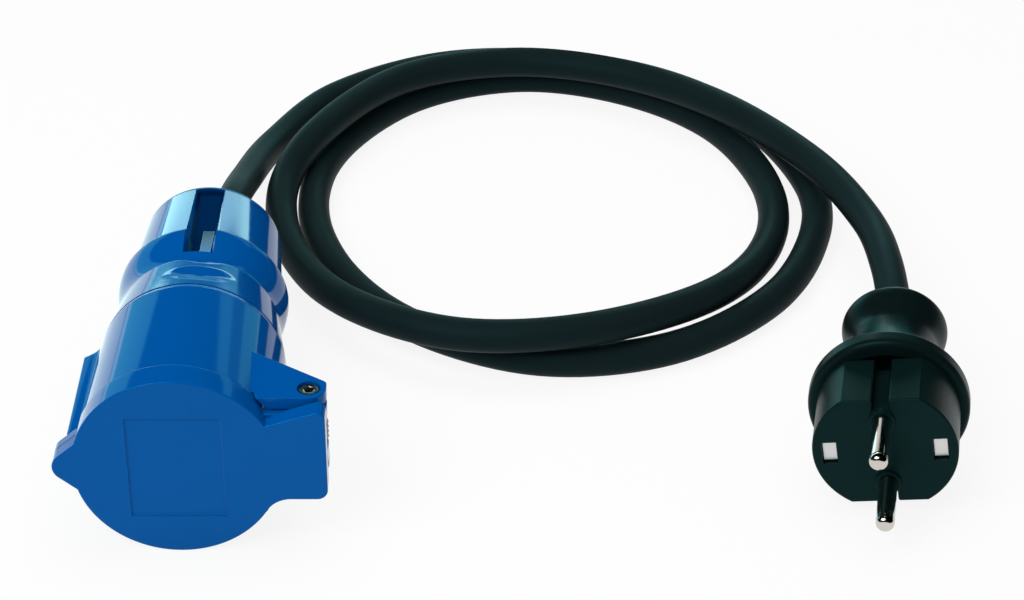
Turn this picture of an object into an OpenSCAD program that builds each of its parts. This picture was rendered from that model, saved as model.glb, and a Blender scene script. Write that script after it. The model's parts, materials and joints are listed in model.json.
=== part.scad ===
// Adapter lead: a round blue socket connector with a sprung lid, a rubber cable laid in loose
// turns, and a black earthed plug with two round pins. Millimetres, +Z up. The connector lies
// along Y with its mouth toward -Y, and the origin is under the middle of the connector.

/* [Barrel] */
// Outer radius of the barrel at its mouth
barrel_r = 25.5; // [24.5:0.1:27]
// How much thinner the barrel is at its rear end
barrel_taper = 1.1; // [0:0.1:1.4]
// Wall of the barrel at its mouth
barrel_wall = 2.7; // [2.4:0.1:3.2]
// Length of the barrel
barrel_len = 39.6; // [37:0.2:46]
// Height of the key rib above the barrel's mouth
rib_rise = 3.3; // [2.5:0.1:4]
// Width of the key rib
rib_w = 12; // [10:0.5:14]
// Width of the keyway inside the rib
keyway_w = 7.5; // [6:0.5:8.5]
// Depth of the keyway into the rib
keyway_deep = 3.4; // [2:0.1:4]
// Free space between the contact insert and the barrel
socket_gap = 5.2; // [4.8:0.1:5.6]

/* [Lid] */
// How far the lid's rim stands out past the barrel
lid_overhang = 0.5; // [0.2:0.1:1]
// Depth of the lid from its face to its rim
lid_depth = 7.9; // [7.2:0.1:9]
// Thickness of the lid's face
lid_skin = 2.6; // [2:0.1:3.2]
// Rounding of the lid's front edge
lid_round = 1.4; // [0.6:0.1:2]
// How far the thumb nub stands out past the lid
nub_out = 5; // [4:0.5:6.5]
// Radius of the nub's tip
nub_tip_r = 4; // [3:0.5:4.5]
// Width of the sunk plate on the lid's face
plate_w = 24; // [18:1:28]
// Height of the sunk plate on the lid's face
plate_h = 30; // [22:1:34]
// Depth of the sunk plate
plate_deep = 0.5; // [0.2:0.1:0.8]
// Thickness of the sealing ring in the lid
gasket_t = 2.4; // [1.8:0.1:3]
// Width of the sealing ring
gasket_w = 3.6; // [3:0.1:4.5]

/* [Hinge] */
// Distance of the hinge pin outside the barrel
hinge_out = 7.8; // [7.4:0.1:9]
// Distance of the hinge pin behind the lid's face
hinge_back = 9.8; // [9.2:0.1:10.6]
// Height of the hinge's middle above the connector's axis
hinge_rise = 5.5; // [4:0.5:7]
// Distance from the pin to the hinge's outer edge
hinge_edge = 4.4; // [4.2:0.1:5]
// Height of the hinge over both ears
ear_span = 24; // [23.2:0.2:28]
// Thickness of an ear
ear_t = 3.6; // [3:0.1:4]
// Angle of the ear's sloping rear edge
ear_angle = 35; // [30:1:40]
// Height of the lid's plate in front of the hinge
hinge_plate_h = 26.6; // [24:0.2:30]
// Height of that plate's middle above the connector's axis
hinge_plate_rise = 3.4; // [2:0.2:5]
// Slope of that plate's upper edge
hinge_plate_slope = 18; // [10:1:24]
// Diameter of the hinge pin
hinge_pin_d = 4.4; // [3.6:0.1:4.8]
// Height of each lid knuckle on the pin
knuckle_h = 4; // [3:0.1:4.2]
// Wire diameter of the lid's spring
spring_wire_d = 1.1; // [0.8:0.1:1.3]
// Number of turns of the lid's spring
spring_turns = 4; // [2:1:4]

/* [Handle] */
// Length of the handle between the nut and the barrel
handle_len = 31.6; // [30:0.2:38]
// Radius of the handle's shoulder
shoulder_r = 23.1; // [22.6:0.1:24]
// Radius of the handle's waist
waist_r = 22.4; // [22:0.1:22.6]
// Wall of the handle at its waist
handle_wall = 2.8; // [2.2:0.1:3.4]
// Width of the thumb recesses above and below the waist
thumb_w = 12; // [10:0.5:16]
// Width of the grip grooves
groove_w = 7.6; // [6:0.2:8.4]
// Depth of the grip grooves below the nut's surface
groove_deep = 2; // [1.4:0.1:2.2]
// How far the grooves run on into the shoulder
groove_run = 12.5; // [11:0.5:14]
// Number of grip grooves
groove_count = 2; // [1:1:3]

/* [Gland] */
// Radius of the gland nut
nut_r = 19; // [18.6:0.1:20]
// Length of the gland nut
nut_len = 25.6; // [22:0.2:30]
// Thickness of the nut's rear wall
nut_floor = 4; // [3:0.2:5]
// Radius of the handle's threaded spigot
spigot_r = 15.4; // [14.8:0.1:15.6]
// Outer radius of the rubber gland ring
gland_r = 9.8; // [8:0.2:11]
// Length of the rubber gland ring
gland_len = 10; // [8:0.5:12]

/* [Contacts] */
// Radius of the circle through the three contacts
contact_circle_r = 10.5; // [9.8:0.1:11]
// Diameter of the pins that enter the line and neutral contacts
live_pin_d = 5; // [4.5:0.1:5.2]
// Diameter of the pin that enters the earth contact
earth_pin_d = 7; // [6.4:0.1:7.2]
// Wall of a contact sleeve
sleeve_wall = 1; // [0.8:0.1:1.2]
// Depth of a contact's bore
contact_deep = 24; // [20:0.5:27]
// Distance of the insert's face behind the barrel's mouth
insert_set_back = 3; // [2:0.1:4]
// Thickness of the insert's flange
flange_t = 4; // [3:0.1:5]
// Length of a contact's terminal head
terminal_len = 12; // [11:0.5:13]
// Shank diameter of a terminal screw
terminal_screw_d = 2.8; // [2.4:0.1:3]

/* [Cable] */
// Outer diameter of the cable
cable_d = 9.4; // [8.6:0.1:9.6]
// Diameter of an insulated core
core_d = 2.8; // [2.4:0.1:3]
// Diameter of a core's copper
copper_d = 1.6; // [1.2:0.1:1.8]

/* [Plug] */
// Radius of the plug's front body
plug_r = 18.6; // [18:0.1:19.4]
// Half the distance between the plug's two flats
plug_flat = 15.8; // [15.2:0.1:16.4]
// Length of the plug's front body
plug_front_len = 19; // [18:0.5:22]
// Width of the guide grooves in the flats
guide_w = 4.2; // [3.4:0.1:5]
// Depth of the guide grooves
guide_deep = 3.4; // [2:0.1:3.6]
// Radius of the plug's flange
plug_flange_r = 21; // [20.2:0.1:23]
// Thickness of the plug's flange
plug_flange_t = 6; // [5:0.2:7]
// Radius of the plug's neck
neck_r = 11.8; // [11.2:0.1:12.8]
// Radius of the knob at the plug's rear
knob_r = 14.2; // [13.6:0.1:16]
// Length from the flange's front to the rear end
plug_rear_len = 43; // [42:0.5:48]
// Diameter of a plug pin
plug_pin_d = 4.8; // [4.6:0.1:5]
// Length of a plug pin
plug_pin_len = 19; // [17:0.5:20]
// Distance between the plug pins
plug_pin_pitch = 19; // [18.4:0.1:19.4]
// Distance between the two earth contacts' middles
earth_pitch = 28.2; // [27.8:0.1:28.6]
// Width of an earth contact's window
earth_window_w = 3.8; // [3.4:0.1:4.2]
// Height of an earth contact's window
earth_window_h = 6.6; // [6:0.1:7]
// Thickness of the earth strip
earth_t = 1.2; // [0.8:0.1:1.6]

/* [Hidden] */
$fn = 96;

// Clearances
seam = 0.2;
turn_gap = 0.3;
slip = 0.1;
pin_slip = 0.15;
press = 0.05;

// Colours
shell_blue = [0.02, 0.33, 0.68];
insert_blue = [0.05, 0.38, 0.72];
seal_grey = [0.16, 0.17, 0.18];
steel = [0.75, 0.76, 0.77];
brass = [0.80, 0.66, 0.35];
nickel = [0.80, 0.78, 0.73];
rubber_black = [0.07, 0.08, 0.08];
moulded_black = [0.09, 0.11, 0.11];
core_brown = [0.36, 0.20, 0.10];
core_blue = [0.10, 0.30, 0.70];
core_green = [0.45, 0.62, 0.15];
copper = [0.75, 0.45, 0.28];

// Radii worked out from the sizes above
bore_r = barrel_r - barrel_wall;
barrel_rear_r = barrel_r - barrel_taper;
lid_r = barrel_r + lid_overhang;
insert_r = bore_r - socket_gap;
rib_r = barrel_r + rib_rise;
hinge_x = barrel_r + hinge_out;
hinge_reach = hinge_x + hinge_edge;
nub_reach = lid_r + nub_out;
cable_r = cable_d / 2;
cavity_r = waist_r - handle_wall;
groove_floor_r = nut_r - groove_deep;

// Places along the connector, from the nut's rear end to the lid's face
s_handle = nut_len + seam;
s_seam = s_handle + handle_len;
s_barrel = s_seam + seam;
s_front = s_barrel + barrel_len;
s_lid = s_front + turn_gap;
s_face = s_lid + lid_depth;
s_pin = s_face - hinge_back;
s_insert = s_front - insert_set_back;
front_spigot_len = 3.4;
s_flange = s_seam + front_spigot_len + slip;
s_ledge = s_flange + flange_t + slip;
ledge_t = 2;
ledge_r = bore_r - 2.4;

// Where the connector's axis lies
axis_x = (nub_reach - hinge_reach) / 2;
axis_z = lid_r;
rear_y = s_face / 2;

// Puts a shape drawn along its own Z, mouth up, on the connector's axis
module on_connector() {
    translate([axis_x, rear_y, axis_z]) rotate([90, 0, 0]) children();
}

// Extrudes an outline drawn across and along the connector between two heights
module between_heights(low, high) {
    translate([0, high, 0]) rotate([90, 0, 0]) linear_extrude(high - low) children();
}

// A plain rod from one point to another
module rod(a, b, r) {
    v = b - a;
    length = norm(v);
    translate(a) rotate([0, acos(v[2] / length), atan2(v[1], v[0])]) cylinder(r = r, h = length);
}

// A slotted cheese-head screw along +Z, with its head's underside at the origin
module slotted_screw(shank_r, shank_len, head_r, head_h) {
    slot_w = head_r * 0.35;
    difference() {
        union() {
            translate([0, 0, -shank_len]) cylinder(r = shank_r, h = shank_len + head_h / 2);
            cylinder(r = head_r, h = head_h);
        }
        translate([-head_r, -slot_w / 2, head_h / 2]) cube([2 * head_r, slot_w, head_h]);
    }
}

// Barrel

ear_r = hinge_edge - slip;
ear_back = 2.9;
ear_corner_r = 1.6;
ear_inner = ear_span / 2 - ear_t;

// How far from the pin an ear's front may run at a height, to clear the lid's rim as it turns
function swing_r(y) = norm([hinge_x - sqrt(pow(lid_r, 2) - pow(y, 2)), s_lid - s_pin]) - 2 * turn_gap;

// Round the pin in front, with a small round corner at the end of the sloping rear edge
module ear_outline() {
    edge = hinge_x + ear_r;
    root_x = bore_r / 2;
    rear_s = s_pin - ear_back;
    corner = [edge - ear_corner_r, rear_s + ear_corner_r * (1 / cos(ear_angle) - tan(ear_angle))];
    polygon([
        [edge, corner[1]],
        [edge, s_pin],
        [hinge_x, s_pin + ear_r],
        [root_x, s_pin + ear_r],
        [root_x, rear_s - (edge - root_x) * tan(ear_angle)],
        corner + ear_corner_r * [sin(ear_angle), -cos(ear_angle)],
    ]);
    translate([hinge_x, s_pin]) circle(r = ear_r);
    translate(corner) circle(r = ear_corner_r);
}

// An ear is plain as far as the mouth, and in front of it keeps inside the cone that the rim clears
module ear(low) {
    intersection() {
        between_heights(low, low + ear_t) ear_outline();
        union() {
            translate([0, low - 1, 0]) cube([hinge_reach, ear_t + 2, s_front]);
            translate([hinge_x, low, s_pin]) rotate([-90, 0, 0])
                cylinder(r1 = swing_r(low), r2 = swing_r(low + ear_t), h = ear_t);
        }
    }
}

module barrel() color(shell_blue) on_connector() {
    lip = 0.8;
    rib_start = s_barrel + 4.2;
    difference() {
        union() {
            rotate_extrude() polygon([
                [0, s_barrel],
                [barrel_rear_r - lip, s_barrel],
                [barrel_rear_r, s_barrel + lip],
                [barrel_r, s_front],
                [0, s_front],
            ]);
            intersection() {
                translate([0, 0, rib_start]) cylinder(r = rib_r, h = s_front - rib_start);
                translate([-rib_r, -rib_w / 2, rib_start]) cube([rib_r, rib_w, s_front - rib_start]);
            }
            ear(hinge_rise + ear_inner);
            ear(hinge_rise - ear_inner - ear_t);
        }
        translate([0, 0, s_barrel - 1]) cylinder(r = bore_r, h = s_ledge - s_barrel + 1);
        translate([0, 0, s_ledge - 1]) cylinder(r = ledge_r, h = ledge_t + 2);
        translate([0, 0, s_ledge + ledge_t]) cylinder(r = bore_r, h = s_front - s_ledge);
        translate([-bore_r - keyway_deep, -keyway_w / 2, s_ledge + ledge_t])
            cube([bore_r, keyway_w, s_front - s_ledge]);
        translate([hinge_x, hinge_rise + ear_span / 2 + 1, s_pin]) rotate([90, 0, 0])
            cylinder(d = hinge_pin_d + 2 * press, h = ear_span + 2);
    }
}

// Contacts: earth toward the keyway, line and neutral a third of a turn to each side

earth_angle = 180;
live_spread = 120;
entry_t = 3.8;
entry_slack = 0.5;
s_sleeve = s_insert - entry_t;
s_terminal = s_flange - terminal_len;
terminal_screw_s = s_terminal + 3.6;
terminal_lip = 0.9;
live_bore_r = live_pin_d / 2 + slip;
earth_bore_r = earth_pin_d / 2 + slip;
contact_angles = [earth_angle, earth_angle + live_spread, earth_angle - live_spread];
contact_bores = [earth_bore_r, live_bore_r, live_bore_r];

module at_contact(i) {
    rotate([0, 0, contact_angles[i]]) translate([contact_circle_r, 0, 0]) children();
}

module contact_insert() color(insert_blue) on_connector() difference() {
    union() {
        translate([0, 0, s_flange]) cylinder(r = bore_r - slip, h = flange_t);
        translate([0, 0, s_flange]) cylinder(r = insert_r, h = s_insert - s_flange);
    }
    for (i = [0 : 2]) at_contact(i) {
        translate([0, 0, s_flange - 1])
            cylinder(r = contact_bores[i] + sleeve_wall + press, h = s_sleeve - s_flange + 1 + slip);
        translate([0, 0, s_sleeve]) cylinder(r = contact_bores[i] + entry_slack, h = entry_t + 1);
    }
}

module contact(i) {
    sleeve_r = contact_bores[i] + sleeve_wall;
    head_r = sleeve_r + terminal_lip;
    wire_hole_len = 7;
    on_connector() at_contact(i) difference() {
        union() {
            translate([0, 0, s_terminal]) cylinder(r = head_r, h = terminal_len);
            translate([0, 0, s_flange - 1]) cylinder(r = sleeve_r, h = s_sleeve - s_flange + 1);
        }
        translate([0, 0, s_sleeve - contact_deep]) cylinder(r = contact_bores[i], h = contact_deep + 1);
        translate([0, 0, s_terminal - 1]) cylinder(d = copper_d + 4 * slip, h = wire_hole_len + 1);
        translate([0, 0, terminal_screw_s]) rotate([0, 90, 0])
            cylinder(d = terminal_screw_d + 2 * press, h = head_r + 1);
    }
}

module earth_contact() color(brass) contact(0);

module line_contact() color(brass) contact(1);

module neutral_contact() color(brass) contact(2);

module terminal_screws() color(steel) on_connector() for (i = [0 : 2]) at_contact(i) {
    head_r = contact_bores[i] + sleeve_wall + terminal_lip;
    reach = head_r - copper_d / 2 - slip;
    translate([head_r, 0, terminal_screw_s]) rotate([0, 90, 0])
        slotted_screw(terminal_screw_d / 2, reach, terminal_screw_d * 0.75, 1.5);
}

// Lid

knuckle_r = hinge_edge;
knuckle_half = ear_inner - turn_gap;
spring_room_r = hinge_edge + 0.5;
s_slab = s_pin + spring_room_r;
slab_low_round = 2.7;
slab_high_round = 2;
nub_flank = 40;
blend_r = 7;

// The nub: a round tip with two flanks that run tangent to it into the disc
module nub_outline() {
    tip_x = -(nub_reach - nub_tip_r);
    touch = [tip_x - nub_tip_r * sin(nub_flank), nub_tip_r * cos(nub_flank)];
    root_x = -lid_r * 0.82;
    root_y = touch[1] + (root_x - touch[0]) * tan(nub_flank);
    translate([tip_x, 0]) circle(r = nub_tip_r);
    polygon([touch, [root_x, root_y], [root_x, -root_y], [touch[0], -touch[1]]]);
}

// The hollow corner between the disc's edge and the plate's lower edge
module corner_blend(edge_y) {
    middle_y = edge_y - blend_r;
    middle_x = sqrt(pow(lid_r + blend_r, 2) - pow(middle_y, 2));
    meet = [middle_x, middle_y] * lid_r / (lid_r + blend_r);
    difference() {
        polygon([[meet[0] - 4, edge_y + 1], [middle_x, edge_y + 1], [middle_x, middle_y], meet]);
        translate([middle_x, middle_y]) circle(r = blend_r);
    }
}

// The plate in front of the hinge: level below, sloping above, its outer corners round
module hinge_slab_outline() {
    low = hinge_plate_rise - hinge_plate_h / 2;
    root_x = lid_r * 0.6;
    low_corner = [hinge_reach - slab_low_round, low + slab_low_round];
    high_corner = [hinge_reach, low + hinge_plate_h] - [slab_high_round, slab_high_round];
    slope_end = high_corner + slab_high_round * [-sin(hinge_plate_slope), cos(hinge_plate_slope)];
    polygon([
        [root_x, low],
        [low_corner[0], low],
        [hinge_reach, low_corner[1]],
        [hinge_reach, high_corner[1]],
        slope_end,
        [root_x, slope_end[1] - (slope_end[0] - root_x) * tan(hinge_plate_slope)],
    ]);
    translate(low_corner) circle(r = slab_low_round);
    translate(high_corner) circle(r = slab_high_round);
    corner_blend(low);
}

// A knuckle round the pin, with a web from it to the disc
module knuckle(low) {
    web_x = lid_r - 2 * gasket_w;
    between_heights(low, low + knuckle_h) difference() {
        union() {
            translate([hinge_x, s_pin]) circle(r = knuckle_r);
            translate([hinge_x - knuckle_r, s_pin])
                square([knuckle_r + hinge_edge, s_slab - s_pin + 1]);
            translate([web_x, s_lid]) square([hinge_x - web_x, s_slab - s_lid + 1]);
        }
        translate([hinge_x, s_pin]) circle(d = hinge_pin_d + 2 * pin_slip);
    }
}

module lid() color(shell_blue) on_connector() {
    gasket_out = bore_r + gasket_w / 2 + slip;
    hollow_r = gasket_out - gasket_w - 2 * slip;
    difference() {
        union() {
            rotate_extrude() difference() {
                union() {
                    translate([0, s_lid]) square([lid_r, lid_depth - lid_round]);
                    translate([0, s_lid]) square([lid_r - lid_round, lid_depth]);
                    translate([lid_r - lid_round, s_face - lid_round]) circle(r = lid_round);
                }
                translate([-lid_r, s_lid]) square([lid_r, lid_depth]);
            }
            translate([0, 0, s_lid]) linear_extrude(lid_depth - 0.6) nub_outline();
            translate([0, 0, s_slab]) linear_extrude(s_face - s_slab) hinge_slab_outline();
            knuckle(hinge_rise + knuckle_half - knuckle_h);
            knuckle(hinge_rise - knuckle_half);
        }
        translate([0, 0, s_lid - 1]) cylinder(r = gasket_out, h = gasket_t + 1);
        translate([0, 0, s_lid]) cylinder(r = hollow_r, h = lid_depth - lid_skin);
        translate([-plate_w / 2, -plate_h / 2, s_face - plate_deep]) cube([plate_w, plate_h, 1]);
    }
}

module lid_gasket() color(seal_grey) on_connector() {
    out = bore_r + gasket_w / 2;
    translate([0, 0, s_lid]) difference() {
        cylinder(r = out, h = gasket_t);
        translate([0, 0, -1]) cylinder(r = out - gasket_w, h = gasket_t + 2);
    }
}

module hinge_pin() color(steel) on_connector() {
    sunk = 0.4;
    length = ear_span - 2 * sunk;
    translate([hinge_x, hinge_rise + length / 2, s_pin]) rotate([90, 0, 0]) difference() {
        cylinder(d = hinge_pin_d, h = length);
        translate([0, 0, -1]) cylinder(d = hinge_pin_d / 2, h = length + 2);
    }
}

// The spring's wire: one leg along the barrel, turns round the pin, one leg behind the lid
function unit(v) = v / norm(v);

function coil_point(turn, coil_r, low, rise) =
    [coil_r * sin(360 * turn), low + rise * turn, coil_r * cos(360 * turn)];

// Rings of points square to a line, the first and last facing along its ends
function line_way(line, i) =
    unit(line[min(i + 1, len(line) - 1)] - line[max(i - 1, 0)]);

function ring_points(line, i, r, sides, up) =
    let (way = line_way(line, i), side = unit(cross(way, up)), top = cross(side, way))
    [for (k = [0 : sides - 1]) line[i] + r * (cos(360 * k / sides) * side + sin(360 * k / sides) * top)];

// A tube of flat faces swept along a line of points
module swept_tube(line, r, sides, up) {
    rings = len(line);
    points = [for (i = [0 : rings - 1]) each ring_points(line, i, r, sides, up)];
    walls = [
        for (i = [0 : rings - 2], k = [0 : sides - 1])
            let (a = i * sides + k, b = i * sides + (k + 1) % sides)
            each [[a, a + sides, b], [b, a + sides, b + sides]]
    ];
    start = [for (k = [0 : sides - 1]) k];
    end = [for (k = [sides - 1 : -1 : 0]) (rings - 1) * sides + k];
    polyhedron(points, concat([start], walls, [end]));
}

module lid_spring() color(steel) on_connector() translate([hinge_x, hinge_rise, s_pin]) {
    wire_r = spring_wire_d / 2;
    coil_r = spring_room_r - turn_gap - wire_r;
    pitch = spring_wire_d + 0.35;
    low = -spring_turns * pitch / 2;
    steps = 12;
    turns = spring_turns + 0.25;
    leg_gap = 0.35;
    barrel_side = -(hinge_out - wire_r - leg_gap);
    coil = [for (k = [0 : steps * turns]) coil_point(-0.25 + k / steps, coil_r, low, pitch)];
    last = coil[len(coil) - 1];
    fixed_leg = [[barrel_side, coil[0][1], -13], [barrel_side, coil[0][1], -7], [-coil_r, coil[0][1], -2]];
    lid_leg = [last + [-3, 0, 0], last + [-6, 0, 0]];
    swept_tube(concat(fixed_leg, coil, lid_leg), wire_r, 6, [0, 1, 0.01]);
}

// Handle and gland

shoulder_len = 6.5;
shoulder_step = 0.5;
waist_s = s_seam - 14.4;
rim_r = barrel_rear_r - 0.1;
clamp_room_r = 14.6;
clamp_room_len = groove_run + 1.5;
clamp_s = s_handle + 2.5;
clamp_len = 7;
clamp_half_w = 12.5;
clamp_screw_x = 8.8;
clamp_screw_d = 3;
clamp_gap = 1.2;
groove_turn = -1.5;
tongue_x = -0.2;
tongue_w = 3.2;
tongue_len = groove_run + 4.4;
thumb_turn = -6;
thumb_len = 6.4;
thumb_deep = 0.4;
thumb_s = s_seam - 7.4;

// Eases from 0 to 1 with level ends
function ease(t) = (1 - cos(180 * t)) / 2;

function handle_outline() = let (steps = 8) concat(
    [for (k = [0 : steps]) let (t = k / steps)
        [nut_r + shoulder_step + (shoulder_r - nut_r - shoulder_step) * sin(90 * t),
            s_handle + shoulder_len * (1 - cos(90 * t))]],
    [for (k = [1 : steps]) let (t = k / steps)
        [shoulder_r + (waist_r - shoulder_r) * ease(t),
            s_handle + shoulder_len + (waist_s - s_handle - shoulder_len) * t]],
    [for (k = [1 : steps]) let (t = k / steps)
        [waist_r + (rim_r - waist_r) * ease(t), waist_s + (s_seam - waist_s) * t]]
);

module grip_grooves(from_s, to_s) {
    for (i = [0 : groove_count - 1]) rotate([0, 0, groove_turn + i * 360 / groove_count])
        translate([-groove_w / 2, groove_floor_r, from_s]) cube([groove_w, shoulder_r, to_s - from_s]);
}

// A slot with round ends, lying across the handle
module thumb_outline() {
    end_x = (thumb_w - thumb_len) / 2;
    square([2 * end_x, thumb_len], center = true);
    for (x = [-end_x, end_x]) translate([x, 0]) circle(d = thumb_len);
}

// The shelf that the cable lies on inside the handle
module clamp_shelf() {
    intersection() {
        translate([0, 0, clamp_s]) cylinder(r = clamp_room_r + 0.5, h = clamp_len);
        translate([-clamp_half_w, -clamp_room_r - 1, clamp_s])
            cube([2 * clamp_half_w, clamp_room_r + 1 - clamp_gap, clamp_len]);
    }
}

module clamp_screw_places() {
    for (x = [-clamp_screw_x, clamp_screw_x])
        translate([x, 0, clamp_s + clamp_len / 2]) rotate([-90, 0, 0]) children();
}

module handle() color(shell_blue) on_connector() {
    spigot_s = nut_floor + 1.2;
    tongue_s = s_handle + groove_run - tongue_len;
    difference() {
        union() {
            difference() {
                union() {
                    rotate_extrude() polygon(concat([[0, s_handle]], handle_outline(), [[0, s_seam]]));
                    translate([0, 0, spigot_s]) cylinder(r = spigot_r, h = s_handle - spigot_s + 1);
                    translate([0, 0, s_seam - 1]) cylinder(r = bore_r - slip, h = front_spigot_len + 1);
                }
                grip_grooves(s_handle - 1, s_handle + groove_run);
                for (turn = [-90, 90]) rotate([0, 0, thumb_turn]) translate([0, 0, thumb_s])
                    rotate([turn, 0, 0]) translate([0, 0, waist_r - thumb_deep])
                    linear_extrude(barrel_wall) thumb_outline();
            }
            rotate([0, 0, groove_turn]) translate([tongue_x, groove_floor_r + turn_gap, tongue_s])
                cube([tongue_w, groove_deep, tongue_len + 0.5]);
            rotate([0, 0, groove_turn]) translate([tongue_x, groove_floor_r - 0.5, s_handle])
                cube([tongue_w, groove_deep, groove_run + 0.5]);
        }
        translate([0, 0, spigot_s - 1]) cylinder(r = gland_r + slip, h = clamp_s - spigot_s + 1);
        difference() {
            translate([0, 0, s_handle + 1.5]) cylinder(r = clamp_room_r, h = clamp_room_len);
            clamp_shelf();
        }
        translate([0, 0, s_handle + clamp_room_len]) cylinder(r = cavity_r, h = handle_len + 10);
        translate([0, 0, s_handle]) cylinder(r = cable_r + pin_slip, h = clamp_room_len + 2);
        clamp_screw_places() translate([0, 0, -clamp_screw_x])
            cylinder(d = clamp_screw_d + 2 * press, h = 2 * clamp_screw_x);
    }
}

module gland_nut() color(shell_blue) on_connector() {
    edge = 1.6;
    difference() {
        rotate_extrude() difference() {
            union() {
                translate([0, edge]) square([nut_r, nut_len - edge]);
                square([nut_r - edge, edge + 1]);
                translate([nut_r - edge, edge]) circle(r = edge);
            }
            translate([-nut_r, -1]) square([nut_r, nut_len + 2]);
        }
        grip_grooves(-1, nut_len + 1);
        translate([0, 0, -1]) cylinder(r = cable_r + turn_gap, h = nut_len);
        translate([0, 0, nut_floor]) cylinder(r = spigot_r + slip, h = nut_len);
    }
}

module gland_ring() color(rubber_black) on_connector() {
    translate([0, 0, nut_floor]) difference() {
        cylinder(r = gland_r, h = gland_len);
        translate([0, 0, -1]) cylinder(r = cable_r + pin_slip, h = gland_len + 2);
    }
}

clamp_bar_h = 6.5;

module cord_clamp() color(insert_blue) on_connector() difference() {
    translate([-clamp_half_w + 0.5, clamp_gap, clamp_s])
        cube([2 * clamp_half_w - 1, clamp_bar_h, clamp_len]);
    translate([0, 0, clamp_s - 1]) cylinder(r = cable_r + pin_slip, h = clamp_len + 2);
    clamp_screw_places() cylinder(d = clamp_screw_d + 2 * press, h = 2 * clamp_screw_x);
}

module clamp_screws() color(steel) on_connector() clamp_screw_places()
    translate([0, 0, clamp_gap + clamp_bar_h])
    slotted_screw(clamp_screw_d / 2, clamp_bar_h + clamp_gap + 6, clamp_screw_d * 0.8, 1.6);

// Cores fan out from the cable's cut end to the terminals

core_circle_r = 2.2;
core_lift = core_d * 0.36;
s_cut = clamp_s + clamp_len + 2;
s_core = s_terminal - 1;

module connector_core(i, tint) {
    way = [cos(contact_angles[i]), sin(contact_angles[i]), 0];
    color(tint) on_connector() {
        rod(way * core_circle_r + [0, 0, s_cut + core_lift],
            way * contact_circle_r + [0, 0, s_core], core_d / 2);
        translate(way * contact_circle_r + [0, 0, s_core - core_d]) cylinder(d = copper_d, h = 8);
    }
}

module connector_cores() {
    connector_core(0, core_green);
    connector_core(1, core_brown);
    connector_core(2, core_blue);
}

// Plug: drawn along its own Z with the pins up and its face at the origin

plug_yaw = -9;
plug_roll = 9;
plug_face_x = 175.4;
plug_face_y = -38.8;
plug_axis_z = plug_flange_r;
insert_wall = 2.8;
insert_front_t = 6;
insert_tail = 5.5;
insert_tail_r = plug_r - 2;
guide_floor_t = 1;
inner_flat = plug_flat - guide_deep - guide_floor_t;
z_flange = -plug_front_len;
z_neck = z_flange - plug_flange_t;
z_rear = z_flange - plug_rear_len;
z_insert = z_flange - insert_tail;
pin_collar_h = 0.8;
pin_root_top = -2;
pin_root_r = plug_pin_d / 2 + 0.3;
pin_neck_r = plug_pin_d / 2 - 0.3;
pin_foot = pin_collar_h + 0.4;
plug_terminal_len = 9;
plug_terminal_r = 3.3;
plug_terminal_y = inner_flat - plug_terminal_r - slip;
z_terminal = -insert_front_t - plug_terminal_len;
z_plug_screw = z_terminal + 3;
z_plug_clamp = z_insert;
plug_clamp_len = 5;
neck_root_r = plug_flange_r - 2.7;
plug_clamp_half_w = 10;
plug_clamp_gap = 1;
plug_clamp_h = 5.6;
plug_clamp_screw_x = 7.4;
plug_clamp_screw_d = 2.6;
earth_tongue_h = 5.4;
z_earth = z_terminal - 1;

module on_plug() {
    translate([plug_face_x, plug_face_y, plug_axis_z]) rotate([90, 0, plug_yaw])
        rotate([0, 0, plug_roll]) children();
}

// Round front with a flat above and below
module plug_front_outline(r, flat) {
    intersection() {
        circle(r = r);
        square([2 * r, 2 * flat], center = true);
    }
}

module pin_places() {
    for (side = [-1, 1]) translate([0, side * plug_pin_pitch / 2, 0]) children();
}

module earth_places() {
    for (side = [-1, 1]) translate([side * earth_pitch / 2, 0, 0]) children();
}

module plug_insert() color(moulded_black) on_plug() {
    collar_r = 3.4;
    bridge_t = 1.4;
    bridge_half_w = insert_tail_r - insert_wall + 1;
    plug_clamp_half(-plug_clamp_gap - plug_clamp_h, bridge_t / 2);
    difference() {
        translate([-bridge_half_w, -plug_clamp_gap - plug_clamp_h, z_insert])
            cube([2 * bridge_half_w, plug_clamp_h, bridge_t]);
        translate([0, 0, z_insert - 1]) cylinder(r = cable_r + pin_slip, h = bridge_t + 2);
    }
    difference() {
        union() {
            translate([0, 0, z_flange]) linear_extrude(plug_front_len)
                plug_front_outline(plug_r, plug_flat);
            translate([0, 0, z_insert]) cylinder(r = insert_tail_r, h = insert_tail + 1);
            pin_places() cylinder(r = collar_r, h = pin_collar_h);
        }
        translate([0, 0, z_insert - 1]) linear_extrude(plug_front_len + insert_tail - insert_front_t + 1)
            plug_front_outline(insert_tail_r - insert_wall, inner_flat);
        for (side = [-1, 1])
            translate([-guide_w / 2, side > 0 ? plug_flat - guide_deep : -plug_flat - 1, z_flange])
            cube([guide_w, guide_deep + 1, plug_front_len + 1]);
        pin_places() {
            translate([0, 0, -insert_front_t - 1])
                cylinder(r = pin_root_r + press, h = insert_front_t + 1 + pin_root_top);
            translate([0, 0, pin_root_top - 1])
                cylinder(r = pin_neck_r + press, h = pin_foot - pin_root_top + 1);
        }
        earth_places() translate([-earth_window_w / 2, -earth_window_h / 2, z_insert - 1])
            cube([earth_window_w, earth_window_h, 2 - z_insert]);
    }
}

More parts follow.
